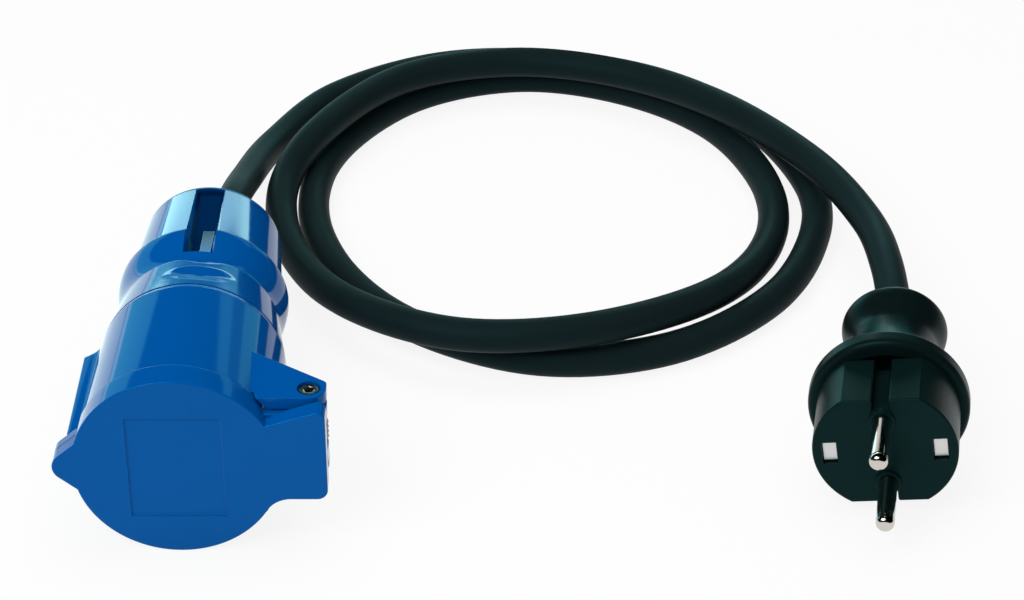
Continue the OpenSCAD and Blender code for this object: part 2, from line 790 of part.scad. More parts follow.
// Neck and knob behind the flange, as one smooth outline
function plug_rear_outline() = let (
    steps = 8,
    waist_z = z_neck - 21,
    knob_z = z_rear + 6.6,
    tail_r = cable_r + 1.9
) concat(
    [for (k = [0 : steps]) let (t = k / steps)
        [neck_r + (neck_root_r - neck_r) * pow(1 - t, 2.5), z_neck + (waist_z - z_neck) * t]],
    [for (k = [1 : steps]) let (t = k / steps)
        [neck_r + (knob_r - neck_r) * ease(t), waist_z + (knob_z - waist_z) * t]],
    [for (k = [1 : steps]) let (t = k / steps)
        [knob_r - (knob_r - tail_r) * pow(t, 1.8), knob_z + (z_rear - knob_z) * t]]
);

module plug_housing() color(rubber_black) on_plug() {
    rim = 1.6;
    clamp_room_r = plug_clamp_half_w + 2.4;
    z_room = z_plug_clamp - plug_clamp_len - 1;
    difference() {
        union() {
            rotate_extrude() difference() {
                union() {
                    translate([0, z_neck]) square([plug_flange_r - rim, plug_flange_t]);
                    translate([0, z_neck + rim]) square([plug_flange_r, plug_flange_t - 2 * rim]);
                    for (z = [z_neck + rim, z_flange - rim])
                        translate([plug_flange_r - rim, z]) circle(r = rim);
                }
                translate([-plug_flange_r, z_neck]) square([plug_flange_r, plug_flange_t]);
            }
            rotate_extrude() polygon(concat([[0, z_neck + 1], [neck_root_r, z_neck + 1]],
                plug_rear_outline(), [[0, z_rear]]));
        }
        translate([0, 0, z_insert]) cylinder(r = insert_tail_r + slip, h = insert_tail + 1);
        translate([0, 0, z_room]) cylinder(r = clamp_room_r, h = z_insert - z_room + 1);
        translate([0, 0, z_rear - 1]) cylinder(r = cable_r + pin_slip, h = plug_rear_len);
    }
}

// A round pin with a domed tip, a neck through the face and a thick terminal head behind it
module plug_pin(side) {
    r = plug_pin_d / 2;
    dome = 1.6;
    root = insert_front_t + 0.8;
    difference() {
        union() {
            translate([0, side * plug_pin_pitch / 2, 0]) rotate_extrude() difference() {
                union() {
                    translate([0, -root]) square([pin_root_r, root + pin_root_top]);
                    translate([0, pin_root_top - 1]) square([pin_neck_r, pin_foot - pin_root_top + 2]);
                    translate([0, pin_foot]) square([r, plug_pin_len - dome - pin_foot]);
                    square([r - dome, plug_pin_len]);
                    translate([r - dome, plug_pin_len - dome]) circle(r = dome);
                }
                translate([-r, 0]) square([r, plug_pin_len]);
            }
            translate([0, side * plug_terminal_y, z_terminal])
                cylinder(r = plug_terminal_r, h = plug_terminal_len);
        }
        translate([0, side * plug_terminal_y, z_terminal - 1]) cylinder(d = copper_d + 4 * slip, h = 6);
        translate([0, side * plug_terminal_y, z_plug_screw]) rotate([0, 90, 0])
            cylinder(d = plug_clamp_screw_d + 2 * press, h = plug_terminal_r + 1);
    }
}

module upper_pin() color(nickel) on_plug() plug_pin(1);

module lower_pin() color(nickel) on_plug() plug_pin(-1);

// The earth strip: a bar across the plug with a tongue into each window
module earth_strip() color(steel) on_plug() {
    tongue_top = -1.2;
    tongue_w = earth_window_w - 0.4;
    bar_x = earth_pitch / 2 + tongue_w / 2;
    difference() {
        union() {
            translate([-bar_x, -earth_tongue_h / 2, z_earth - earth_t])
                cube([2 * bar_x, earth_tongue_h, earth_t]);
            earth_places() translate([-tongue_w / 2, -earth_tongue_h / 2, z_earth - earth_t])
                cube([tongue_w, earth_tongue_h, tongue_top - z_earth + earth_t]);
        }
        translate([0, 0, z_earth - earth_t - 1])
            cylinder(d = plug_clamp_screw_d + 2 * press, h = earth_t + 2);
    }
}

module plug_terminal_screws() color(steel) on_plug() {
    shank_r = plug_clamp_screw_d / 2;
    head_r = plug_clamp_screw_d * 0.75;
    reach = plug_terminal_r - copper_d / 2 - slip;
    for (side = [-1, 1]) translate([plug_terminal_r, side * plug_terminal_y, z_plug_screw])
        rotate([0, 90, 0]) slotted_screw(shank_r, reach, head_r, 1.3);
    translate([0, 0, z_earth - earth_t]) rotate([180, 0, 0]) slotted_screw(shank_r, 4, head_r, 1.3);
}

module plug_clamp_screw_places() {
    for (x = [-plug_clamp_screw_x, plug_clamp_screw_x])
        translate([x, 0, z_plug_clamp - plug_clamp_len / 2]) rotate([-90, 0, 0]) children();
}

// One half of the cord clamp: the upper one is loose, the lower one is part of the insert
module plug_clamp_half(low, front_len) {
    difference() {
        translate([-plug_clamp_half_w, low, z_plug_clamp - plug_clamp_len])
            cube([2 * plug_clamp_half_w, plug_clamp_h, plug_clamp_len + front_len]);
        translate([0, 0, z_plug_clamp - plug_clamp_len - 1])
            cylinder(r = cable_r + pin_slip, h = plug_clamp_len + front_len + 2);
        plug_clamp_screw_places() translate([0, 0, -10])
            cylinder(d = plug_clamp_screw_d + 2 * press, h = 20);
    }
}

module plug_clamp_bar() color(moulded_black) on_plug() plug_clamp_half(plug_clamp_gap, 0);

module plug_clamp_screws() color(steel) on_plug() plug_clamp_screw_places()
    translate([0, 0, plug_clamp_gap + plug_clamp_h])
    slotted_screw(plug_clamp_screw_d / 2, 2 * plug_clamp_gap + 2 * plug_clamp_h - 1, 2, 1.2);

z_cut = z_insert + 1;

module plug_cores() on_plug() {
    z_copper = z_terminal - 2;
    earth_x = core_circle_r + 0.4;
    bar_x = plug_clamp_screw_d + core_d / 2 + 0.4;
    color(core_green)
        rod([earth_x, 0, z_cut + core_lift], [bar_x, 0, z_earth - earth_t - core_d / 5], core_d / 2);
    for (side = [-1, 1]) {
        tint = side > 0 ? core_brown : core_blue;
        end_y = side * plug_terminal_y;
        color(tint)
            rod([0, side * core_circle_r, z_cut + core_lift], [0, end_y, z_terminal - 1.2], core_d / 2);
        color(tint) translate([0, end_y, z_copper]) cylinder(d = copper_d, h = 5.6);
    }
}

// Cable: laid from the gland in about two and a half turns round to the plug

cable_sides = 10;
rings_per_span = 2;

// Way from the plug's rear end toward its face, level
plug_way = [sin(plug_yaw), -cos(plug_yaw), 0];
plug_face = [plug_face_x, plug_face_y, plug_axis_z];
plug_rear = plug_face + plug_way * z_rear;

route = [
    [axis_x, rear_y, axis_z],
    [-0.6, 80, 23.5], [0.9, 108, 15], [6.5, 144, 6.5], [24, 177, 5], [57, 197.5, 5], [95, 199, 5],
    [130, 185.5, 5], [157, 158, 5], [171, 122, 5], [170, 91, 5], [155, 57, 5], [125, 32, 5],
    [88, 26.5, 5], [53, 43, 5], [31, 71, 5], [20.8, 107, 5], [26, 143, 5], [49, 176, 5],
    [83, 189.5, 5], [117, 180.5, 5], [144, 157, 5], [158, 121, 5], [156, 86, 6], [138, 51, 11],
    [103, 26, 15.6], [66, 24, 15], [35, 43.5, 12.5], [17.5, 74, 9.5], [11.6, 108, 10.3], [21, 136, 15],
    [45, 169.5, 15.2], [80, 183.5, 14], [115, 176, 14], [146, 152.5, 15], [171, 117.5, 15.5],
    [183.5, 83, 16.5], [186, 52, 20],
    plug_rear,
];
connector_end = [axis_x, rear_y - s_cut, axis_z];
plug_end = plug_face + plug_way * z_cut;
stations = concat([connector_end], route, [plug_end]);

// A smooth curve through the stations: the point a share t of the way past station i
function curve_point(i, t) = let (
    a = stations[i - 1], b = stations[i], c = stations[i + 1], d = stations[i + 2]
) (2 * b + (c - a) * t + (2 * a - 5 * b + 4 * c - d) * t * t + (3 * b - a - 3 * c + d) * t * t * t) / 2;

function cable_line() = concat(
    [connector_end],
    [for (i = [1 : len(route) - 1], k = [0 : rings_per_span - 1]) curve_point(i, k / rings_per_span)],
    [plug_rear, plug_end]
);

module cable() color(rubber_black) swept_tube(cable_line(), cable_r, cable_sides, [0, 0, 1]);

barrel();
contact_insert();
earth_contact();
line_contact();
neutral_contact();
terminal_screws();
lid();
lid_gasket();
hinge_pin();
lid_spring();
handle();
gland_nut();
gland_ring();
cord_clamp();
clamp_screws();
connector_cores();
cable();
plug_housing();
plug_insert();
upper_pin();
lower_pin();
earth_strip();
plug_terminal_screws();
plug_clamp_bar();
plug_clamp_screws();
plug_cores();
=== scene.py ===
# %% [markdown]
# # An adapter lead on a white table
#
# The object is a short power lead. A blue socket connector with a hinged lid lies at one end, a black
# rubber plug at the other, and a rubber cable lies between them in loose turns. The construction
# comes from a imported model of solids, which is loaded first and never moved. This script gives the
# pieces their looks: rounded edges, fine surfaces and finishes, and then light, floor and camera.

# %% Load the frame
import json
import math

import bmesh
import bpy
from mathutils import Matrix, Vector


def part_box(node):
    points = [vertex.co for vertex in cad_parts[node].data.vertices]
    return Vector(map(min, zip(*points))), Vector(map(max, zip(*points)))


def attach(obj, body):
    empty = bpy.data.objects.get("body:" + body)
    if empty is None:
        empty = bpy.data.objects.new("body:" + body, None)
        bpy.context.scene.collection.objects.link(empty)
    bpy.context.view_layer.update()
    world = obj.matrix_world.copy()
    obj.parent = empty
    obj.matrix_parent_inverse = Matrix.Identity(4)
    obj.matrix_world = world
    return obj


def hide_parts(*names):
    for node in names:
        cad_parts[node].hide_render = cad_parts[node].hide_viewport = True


MM = 0.001
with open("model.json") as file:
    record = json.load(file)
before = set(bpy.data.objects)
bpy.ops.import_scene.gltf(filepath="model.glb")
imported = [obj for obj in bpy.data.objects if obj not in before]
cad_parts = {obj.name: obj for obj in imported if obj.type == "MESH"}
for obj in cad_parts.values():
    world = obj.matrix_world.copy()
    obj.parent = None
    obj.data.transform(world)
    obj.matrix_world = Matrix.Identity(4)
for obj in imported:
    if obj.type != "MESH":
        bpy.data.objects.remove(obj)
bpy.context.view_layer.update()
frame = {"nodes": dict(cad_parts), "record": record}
scene = bpy.context.scene
scene.view_settings.view_transform = "Standard"
print("solids loaded:", len(frame["nodes"]))

# %% [markdown]
# ## The camera
#
# The picture was taken with a long lens from a little over half a metre away, looking down at the
# table by about a third of a right angle. A camera looks along its own -Z, so it is tipped up from
# straight down. The lens is written as a focal length on a sensor 36 mm wide.

# %% Place the camera
CAMERA_PLACE = Vector((0.0805, -0.6151, 0.4412))
LOOK_DOWN = math.radians(33)
LENS_MM, SENSOR_MM = 98.44, 36

camera_data = bpy.data.cameras.new("photo_camera")
camera_data.lens = LENS_MM
camera_data.sensor_width = SENSOR_MM
camera = bpy.data.objects.new("photo_camera", camera_data)
camera.location = CAMERA_PLACE
camera.rotation_euler = (math.radians(90) - LOOK_DOWN, 0, 0)
scene.collection.objects.link(camera)
scene.camera = camera
print("camera at", [round(v, 3) for v in CAMERA_PLACE])

# %% [markdown]
# ## Two work frames
#
# It is easier to model a round piece upright about its own Z axis, in millimetres, and to set it in
# place at the end. The connector's axis is the middle of its gland nut. The plug's axis lies midway
# between its pins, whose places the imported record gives: each pin's mount is the middle of its plain
# wall, which ends where the dome of the tip starts. Each matrix below turns work millimetres into
# metres in the shared frame.

# %% Find the connector's axis
nut_low, nut_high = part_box("gland_nut")
axis_x = (nut_low.x + nut_high.x) / 2
axis_z = (nut_low.z + nut_high.z) / 2
rear_y = nut_high.y
TO_MM = Matrix.Scale(MM, 4)
TIP_BACK = Matrix.Rotation(math.pi / 2, 4, "X")
CONNECTOR = Matrix.Translation((axis_x, rear_y, axis_z)) @ TIP_BACK @ TO_MM


def along(y):
    """How far a place lies from the connector's rear end, in millimetres."""
    return (rear_y - y) / MM


nut_len = along(nut_low.y)
s_barrel = along(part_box("barrel")[1].y)
s_lid = along(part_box("lid_gasket")[1].y)
s_face = along(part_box("lid")[0].y)
print("connector runs from 0 to", round(s_face, 1), "mm")

# %% Find the plug's axis
PIN_LEN, PIN_DOME = 19, 1.6
mounts = {mount["name"]: mount for mount in frame["record"]["mounts"]}
upper_pin_place = Vector(mounts["upper_plug_pin"]["pos_m"])
lower_pin_place = Vector(mounts["lower_plug_pin"]["pos_m"])
plug_z = Vector(mounts["upper_plug_pin"]["axis"]).normalized()
plug_y = (upper_pin_place - lower_pin_place).normalized()
plug_x = plug_y.cross(plug_z)
wall_end = mounts["upper_plug_pin"]["dims"]["length_mm"] / 2
plug_face = (upper_pin_place + lower_pin_place) / 2 + plug_z * (wall_end - PIN_LEN + PIN_DOME) * MM
plug_turn = Matrix((plug_x, plug_y, plug_z)).transposed().to_4x4()
PLUG = Matrix.Translation(plug_face) @ plug_turn @ TO_MM
pin_pitch = (upper_pin_place - lower_pin_place).length / MM
print("pins", round(pin_pitch, 2), "mm apart")

# %% [markdown]
# ## Finishes
#
# Nothing moulded is one flat colour. A picture could be wrapped round each piece, but noise needs no
# unwrapping and shows no seam. So each finish reads the piece's own Object coordinates, and its
# pattern stays put when the piece moves: a slow noise drifts the colour a little, and a fine noise
# breaks up the gloss and raises a faint grain. Numbers that are the same all over the surface, such
# as the share of mirror reflection, are set straight on the shader. The plastics and the rubbers tint
# what they mirror, because their highlights in the photo are cool and not quite white.

# %% A helper that wires one grained finish
DRIFT_DETAIL, GRAIN_DETAIL, GRAIN_STRENGTH = 3, 4, 0.6
finishes = {}


def grained(slot, colour, shade, roughness, drift_mm, grain_mm, grain_depth, sheen, metallic=0.0,
            mirror=(1, 1, 1)):
    """Mixes two near colours by a slow noise; a fine noise varies the gloss and lifts the grain."""
    finish = bpy.data.materials.new(slot + "_finish")
    finish.use_nodes = True
    tree = finish.node_tree
    shader = tree.nodes["Principled BSDF"]
    shader.inputs["Metallic"].default_value = metallic
    shader.inputs["Specular IOR Level"].default_value = sheen
    shader.inputs["Specular Tint"].default_value = (*mirror, 1)
    coords = tree.nodes.new("ShaderNodeTexCoord")
    drift = tree.nodes.new("ShaderNodeTexNoise")
    drift.inputs["Scale"].default_value = 1 / (drift_mm * MM)
    drift.inputs["Detail"].default_value = DRIFT_DETAIL
    tint = tree.nodes.new("ShaderNodeMix")
    tint.data_type = "RGBA"
    tint.inputs["A"].default_value = (*colour, 1)
    tint.inputs["B"].default_value = (*shade, 1)
    grain = tree.nodes.new("ShaderNodeTexNoise")
    grain.inputs["Scale"].default_value = 1 / (grain_mm * MM)
    grain.inputs["Detail"].default_value = GRAIN_DETAIL
    gloss = tree.nodes.new("ShaderNodeMapRange")
    gloss.inputs["To Min"].default_value = roughness[0]
    gloss.inputs["To Max"].default_value = roughness[1]
    bump = tree.nodes.new("ShaderNodeBump")
    bump.inputs["Strength"].default_value = GRAIN_STRENGTH
    bump.inputs["Distance"].default_value = grain_depth * MM
    wires = tree.links.new
    wires(coords.outputs["Object"], drift.inputs["Vector"])
    wires(coords.outputs["Object"], grain.inputs["Vector"])
    wires(drift.outputs["Fac"], tint.inputs["Factor"])
    wires(tint.outputs["Result"], shader.inputs["Base Color"])
    wires(grain.outputs["Fac"], gloss.inputs["Value"])
    wires(gloss.outputs["Result"], shader.inputs["Roughness"])
    wires(grain.outputs["Fac"], bump.inputs["Height"])
    wires(bump.outputs["Normal"], shader.inputs["Normal"])
    finishes[slot] = finish


# %% Mix the plastics and the rubbers
COOL = (0.2, 0.93, 1.0)
# grip_blue has shell_blue's colour, with painted shade added in its grooves further down.
for slot in ("shell_blue", "grip_blue"):
    grained(slot, colour=(0.0, 0.089, 0.36), shade=(0.0, 0.081, 0.333), roughness=(0.06, 0.10),
            drift_mm=30, grain_mm=0.5, grain_depth=0.002, sheen=0.18, mirror=COOL)
grained("insert_blue", colour=(0.002, 0.12, 0.40), shade=(0.001, 0.10, 0.35), roughness=(0.35, 0.5),
        drift_mm=20, grain_mm=0.4, grain_depth=0.01, sheen=0.25)
grained("cable_rubber", colour=(0.008, 0.016, 0.018), shade=(0.006, 0.013, 0.014),
        roughness=(0.42, 0.58), drift_mm=14, grain_mm=0.35, grain_depth=0.03, sheen=0.05, mirror=COOL)
grained("plug_rubber", colour=(0.0035, 0.0085, 0.0085), shade=(0.0025, 0.0065, 0.0065),
        roughness=(0.26, 0.4), drift_mm=25, grain_mm=0.4, grain_depth=0.015, sheen=0.1, mirror=COOL)
grained("plug_moulding", colour=(0.003, 0.011, 0.011), shade=(0.002, 0.009, 0.009),
        roughness=(0.3, 0.44), drift_mm=25, grain_mm=0.4, grain_depth=0.01, sheen=0.12, mirror=COOL)
grained("seal_rubber", colour=(0.02, 0.022, 0.024), shade=(0.014, 0.015, 0.017), roughness=(0.55, 0.7),
        drift_mm=10, grain_mm=0.3, grain_depth=0.03, sheen=0.2)
grained("core_sheath", colour=(0.12, 0.07, 0.03), shade=(0.09, 0.055, 0.025), roughness=(0.4, 0.5),
        drift_mm=8, grain_mm=0.3, grain_depth=0.01, sheen=0.3)
print("plastics and rubbers:", len(finishes))

# %% Mix the metals
METAL = {"sheen": 0.5, "metallic": 1.0}
grained("contact_brass", colour=(0.62, 0.44, 0.19), shade=(0.55, 0.38, 0.15), roughness=(0.18, 0.32),
        drift_mm=6, grain_mm=0.15, grain_depth=0.004, **METAL)
grained("screw_steel", colour=(0.62, 0.62, 0.61), shade=(0.52, 0.52, 0.52), roughness=(0.2, 0.36),
        drift_mm=5, grain_mm=0.12, grain_depth=0.004, **METAL)
grained("earth_steel", colour=(0.72, 0.72, 0.71), shade=(0.62, 0.62, 0.62), roughness=(0.3, 0.45),
        drift_mm=5, grain_mm=0.15, grain_depth=0.004, **METAL)
grained("pin_nickel", colour=(0.66, 0.63, 0.57), shade=(0.58, 0.55, 0.5), roughness=(0.1, 0.2),
        drift_mm=8, grain_mm=0.15, grain_depth=0.003, **METAL)
print("finishes:", len(finishes))

# %% [markdown]
# ## Painted shade in the grooves
#
# The shade that falls in the grip's grooves is painted into the colour, so they are much darker inside than
# the lands between them. A second finish on the faces of their floors would end in a hard line. The grip's
# finish therefore measures how far a point lies from the connector's axis, and paints shade on what lies
# deeper than the lands.

# %% Paint shade on what lies deep
# Where the painted shade starts and ends, and how dark it gets at the bottom.
LAND_R, DEEP_R, GROOVE_SHADE_SHARE = 19.4, 18.2, 0.24


def paint_groove_shade(finish):
    """Paints shade: multiplies the colour by a share that falls off below the lands of the grip."""
    tree = finish.node_tree
    colour = tree.nodes["Principled BSDF"].inputs["Base Color"]
    plain = colour.links[0].from_socket
    coords = tree.nodes.new("ShaderNodeTexCoord")
    centred = tree.nodes.new("ShaderNodeVectorMath")
    centred.operation = "SUBTRACT"
    centred.inputs[1].default_value = (axis_x, 0, axis_z)
    across = tree.nodes.new("ShaderNodeVectorMath")
    across.operation = "MULTIPLY"
    across.inputs[1].default_value = (1, 0, 1)
    reach = tree.nodes.new("ShaderNodeVectorMath")
    reach.operation = "LENGTH"
    share = tree.nodes.new("ShaderNodeMapRange")
    share.inputs["From Min"].default_value = DEEP_R * MM
    share.inputs["From Max"].default_value = LAND_R * MM
    share.inputs["To Min"].default_value = GROOVE_SHADE_SHARE
    shaded = tree.nodes.new("ShaderNodeVectorMath")
    shaded.operation = "SCALE"
    wires = tree.links.new
    wires(coords.outputs["Object"], centred.inputs[0])
    wires(centred.outputs["Vector"], across.inputs[0])
    wires(across.outputs["Vector"], reach.inputs[0])
    wires(reach.outputs["Value"], share.inputs["Value"])
    wires(plain, shaded.inputs[0])
    wires(share.outputs["Result"], shaded.inputs["Scale"])
    wires(shaded.outputs["Vector"], colour)


# Painted shade: the grip's grooves are darkened in its colour.
paint_groove_shade(finishes["grip_blue"])
print("the grip's grooves are shaded")

# %% [markdown]
# ## The solids that stay
#
# Pieces that are hidden, or whose solid already has the right shape, keep their solids and only take
# a finish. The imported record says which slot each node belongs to, and the finishes above carry the
# same names.

# %% Dress the solids
for part in frame["record"]["subparts"]:
    solid = frame["nodes"][part["node"]]
    solid.data.materials.clear()
    solid.data.materials.append(finishes[part["material_slot"]])

# %% [markdown]
# ## Rings, and setting a piece in place
#
# Nearly every moulded piece here is one of three things: a stack of rings whose radius changes with the
# angle, an outline pushed out to a thickness, or a profile spun round an axis. The rings come first,
# because the grip and the barrel are made of them. The cell after them sets any finished mesh in the shared
# frame, shades it smooth and hides the solids it stands in for.

# %% Steps, arcs and stacked rings
def spread(start, end, count, first=0):
    """Even steps from one number to another; first=1 leaves out the start."""
    return [start + (end - start) * k / count for k in range(first, count + 1)]


def arc(middle, r, start, end, steps=12):
    """Points on a round stretch of an outline, from one angle in degrees to another."""
    turns = [math.radians(degrees) for degrees in spread(start, end, steps)]
    return [(middle[0] + r * math.cos(t), middle[1] + r * math.sin(t)) for t in turns]


def stacked(levels, radius_at, columns=600):
    """Rings at the given levels joined into a closed skin; radius_at gives a radius for an angle."""
    mesh = bmesh.new()
    ring = bmesh.ops.create_circle(mesh, segments=columns, radius=1)["verts"]
    first = mesh.edges[:]
    edges = first
    for i, level in enumerate(levels):
        if i:
            grown = bmesh.ops.extrude_edge_only(mesh, edges=edges)["geom"]
            ring = [item for item in grown if isinstance(item, bmesh.types.BMVert)]
            edges = [item for item in grown if isinstance(item, bmesh.types.BMEdge) and item.is_boundary]
        for vert in ring:
            turn = math.atan2(vert.co.y, vert.co.x)
            r = radius_at(level, turn)
            vert.co = (r * math.cos(turn), r * math.sin(turn), level[1])
    bmesh.ops.bridge_loops(mesh, edges=first + edges)
    return mesh


# %% Moving a mesh and setting it in place
SMOOTH_TURN = math.radians(32)


def moved(mesh, matrix):
    """The same mesh, set somewhere else."""
    bmesh.ops.transform(mesh, matrix=matrix, verts=mesh.verts)
    return mesh


def place(mesh, name, slot, body, work_frame, *nodes, finish=None):
    """Sets a finished mesh in the shared frame, where it stands in for its solids."""
    bmesh.ops.recalc_face_normals(mesh, faces=mesh.faces)
    moved(mesh, work_frame)
    data = bpy.data.meshes.new(name)
    mesh.to_mesh(data)
    mesh.free()
    data.materials.append(finishes[finish or slot])
    data.polygons.foreach_set("use_smooth", [True] * len(data.polygons))
    data.set_sharp_from_angle(angle=SMOOTH_TURN)
    piece = bpy.data.objects.new(name, data)
    scene.collection.objects.link(piece)
    piece.modifiers.new("even_normals", "WEIGHTED_NORMAL").keep_sharp = True
    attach(piece, body)
    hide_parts(*nodes)
    print(name, "faces:", len(data.polygons))
    return piece


# %% [markdown]
# ## The gland nut
#
# The nut is a slight cone. Two flat-bottomed grooves, one above and one below, run along it from its
# closed rear rim and on into the handle. Boolean tools could cut them, but along a cone and over a
# rounded edge a cut leaves thin, ragged faces that catch the light. So the nut is a stack of rings: the
# radius at an angle is the plain radius, or the groove's flat floor where that lies deeper, with a
# short soft lip between the two.

# %% The grooves' radius
GROOVE_TURN = -1.5
GROOVE_W, GROOVE_FLOOR, GROOVE_COUNT = 7.6, 17, 2
GROOVE_LIP = 0.012
GROOVE_WALL = 0.05


def smooth(t):
    """Rises from 0 to 1 with level ends."""
    t = min(max(t, 0), 1)
    return t * t * (3 - 2 * t)


def grooved(r, turn):
    """The radius with the grooves cut in: a flat floor between two soft lips."""
    step = 2 * math.pi / GROOVE_COUNT
    from_top = turn - math.radians(90 + GROOVE_TURN)
    off = abs((from_top + step / 2) % step - step / 2)
    floor = min(GROOVE_FLOOR / math.cos(off), r)
    lip = math.asin(GROOVE_W / 2 / r)
    return floor + (r - floor) * smooth((off - lip + GROOVE_LIP) / (2 * GROOVE_LIP))


print("grooves:", GROOVE_COUNT, "each", GROOVE_W, "mm wide")

# %% Stack the nut
NUT_FRONT_R, NUT_OVER = 21.2, 1.7
NUT_EDGE, NUT_RIM, NUT_CHAMFER = 0.5, 1.2, 0.2
NUT_HOLE, NUT_BORE, NUT_FLOOR = 5.0, 15.5, 4
nut_r = (nut_high.x - nut_low.x) / 2 / MM
nut_end = nut_len + NUT_OVER


def nut_level(s):
    """The nut's plain radius at a place along it, with that place."""
    return nut_r + (NUT_FRONT_R - nut_r) * s / nut_end, s


def nut_radius(level, turn):
    """The radius at a level: the grooves start in front of the rear rim."""
    return grooved(level[0], turn) if level[1] > NUT_RIM else level[0]


rear_round = arc((nut_r - NUT_EDGE, NUT_EDGE), NUT_EDGE, -90, 0, 4)
nut_levels = [(NUT_HOLE, 0), *rear_round, nut_level(NUT_RIM), nut_level(NUT_RIM + GROOVE_WALL),
              nut_level(nut_end - NUT_CHAMFER), (NUT_FRONT_R - NUT_CHAMFER, nut_end),
              (NUT_BORE, nut_end), (NUT_BORE, NUT_FLOOR), (NUT_HOLE, NUT_FLOOR)]
nut_skin = stacked(nut_levels, nut_radius)
place(nut_skin, "gland_nut_skin", "shell_blue", "lead", CONNECTOR, "gland_nut", finish="grip_blue")

# %% [markdown]
# ## The handle
#
# The handle starts with a short rounded edge, narrows to a waist and flares out in a straight line to
# the barrel. A soft thumb recess lies across the flare above and below, with a gentler bend behind it.
# A spun profile would have to be dented afterwards. A stack of rings takes in the grooves and the
# recess at once, because its radius may depend on the angle.

# %% The handle's radius along its length
SEAM, RIM_UNDER = 0.06, 0.2
SHOULDER_FOOT_R, SHOULDER_R, SHOULDER_LEN = 21.4, 23.1, 1.6
WAIST_R, WAIST_BACK, FLARE_BEND = 21.7, 15.6, 0.005
handle_low, handle_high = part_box("handle")
rim_r = (handle_high.x - handle_low.x) / 2 / MM - RIM_UNDER
s_handle = nut_end + SEAM
s_seam = s_barrel - SEAM
s_shoulder = s_handle + SHOULDER_LEN
s_waist = s_seam - WAIST_BACK


def ease(t):
    """Rises from 0 to 1 along half a wave."""
    return (1 - math.cos(math.pi * t)) / 2


def ramp(t, bend):
    """Rises from 0 to 1 in a straight line, after a bend at the start."""
    return (t * t / (2 * bend) if t < bend else t - bend / 2) / (1 - bend / 2)


def handle_r(s, bend=FLARE_BEND):
    """The handle's radius at a place along it: shoulder, waist and flare."""
    if s < s_shoulder:
        rise = math.sqrt(1 - (1 - (s - s_handle) / SHOULDER_LEN) ** 2)
        return SHOULDER_FOOT_R + (SHOULDER_R - SHOULDER_FOOT_R) * rise
    if s < s_waist:
        return SHOULDER_R + (WAIST_R - SHOULDER_R) * ease((s - s_shoulder) / (s_waist - s_shoulder))
    return WAIST_R + (rim_r - WAIST_R) * ramp((s - s_waist) / (s_seam - s_waist), bend)


print("the handle's rim", round(rim_r, 2), "mm from the axis")

# %% The thumb recess
THUMB_TURN, THUMB_BACK = -6, 7.4
THUMB_W, THUMB_LEN, THUMB_DEEP, THUMB_SLOPE, THUMB_BLEND = 11, 5.6, 0.1, 0.4, 1.5
THUMB_BEND, BEND_FROM, BEND_FADE = 0.2, 1, 6
s_thumb = s_seam - THUMB_BACK


def thumbed(s, turn):
    """The radius with a soft oval recess, above and below, and a wider bend behind it."""
    off = (turn - math.radians(90 + THUMB_TURN) + math.pi / 2) % math.pi - math.pi / 2
    aside = abs(WAIST_R * math.sin(off))
    r = handle_r(s, FLARE_BEND + THUMB_BEND * (1 - smooth((aside - BEND_FROM) / BEND_FADE)))
    outside = math.hypot(aside / THUMB_W, (s - s_thumb) / THUMB_LEN) * 2 - 1
    floor = WAIST_R + (r - WAIST_R) * THUMB_SLOPE - THUMB_DEEP
    return floor + (r - floor) * smooth(outside / THUMB_BLEND + 0.5)


print("thumb recess", THUMB_W, "by", THUMB_LEN, "mm")

# %% Stack the handle
GROOVE_BACK = 19.1
CLAMP_ROOM_R, CAVITY_R, CAVITY_START = 14.6, 19.6, 1.5
SHOULDER_RINGS, RUN_RINGS, FLARE_RINGS = 10, 6, 72
NEAR_WAIST = (-0.02, 0.02, 0.08)
s_groove_end = s_seam - GROOVE_BACK
s_cavity = s_groove_end + CAVITY_START


def handle_radius(level, turn):
    """The radius at a level: grooves at the rear, thumb recesses in front, plain inside."""
    r, s, outer = level
    if not outer:
        return r
    return grooved(r, turn) if s <= s_groove_end else thumbed(s, turn)


shoulder_places = [s_handle + SHOULDER_LEN * (1 - math.cos(turn))
                   for turn in spread(0, math.pi / 2, SHOULDER_RINGS)]
run_places = spread(s_shoulder, s_groove_end, RUN_RINGS, 1)
flare_places = spread(s_groove_end + GROOVE_WALL, s_seam, FLARE_RINGS)
waist_places = [s_waist + off for off in NEAR_WAIST]
outer_places = shoulder_places + run_places + sorted(flare_places + waist_places)
handle_levels = [(CLAMP_ROOM_R, s_handle, False)]
handle_levels += [(handle_r(s), s, True) for s in outer_places]
handle_levels += [(CAVITY_R, s_seam, False), (CAVITY_R, s_cavity, False), (CLAMP_ROOM_R, s_cavity, False)]
handle_skin = stacked(handle_levels, handle_radius)
print("handle rings:", len(handle_levels))

# %% [markdown]
# ## The tongue in the upper groove
#
# A small tongue that is part of the handle lies in the upper groove, and its top slopes up to the
# front. A scaled cube would need its corners moved one by one, so its side view is drawn as an
# outline and pushed out to its width. Sharp edges are then rounded, because a real moulding has none.

# %% Prisms, rounding and joining
SHARP_TURN = math.radians(40)


def prism(points, low, high):
    """A closed outline in the work frame's XY, pushed out between two heights."""
    mesh = bmesh.new()
    face = mesh.faces.new([mesh.verts.new((x, y, low)) for x, y in points])
    grown = bmesh.ops.extrude_face_region(mesh, geom=[face])["geom"]
    lifted = [item for item in grown if isinstance(item, bmesh.types.BMVert)]
    bmesh.ops.translate(mesh, verts=lifted, vec=(0, 0, high - low))
    bmesh.ops.recalc_face_normals(mesh, faces=mesh.faces)
    return mesh


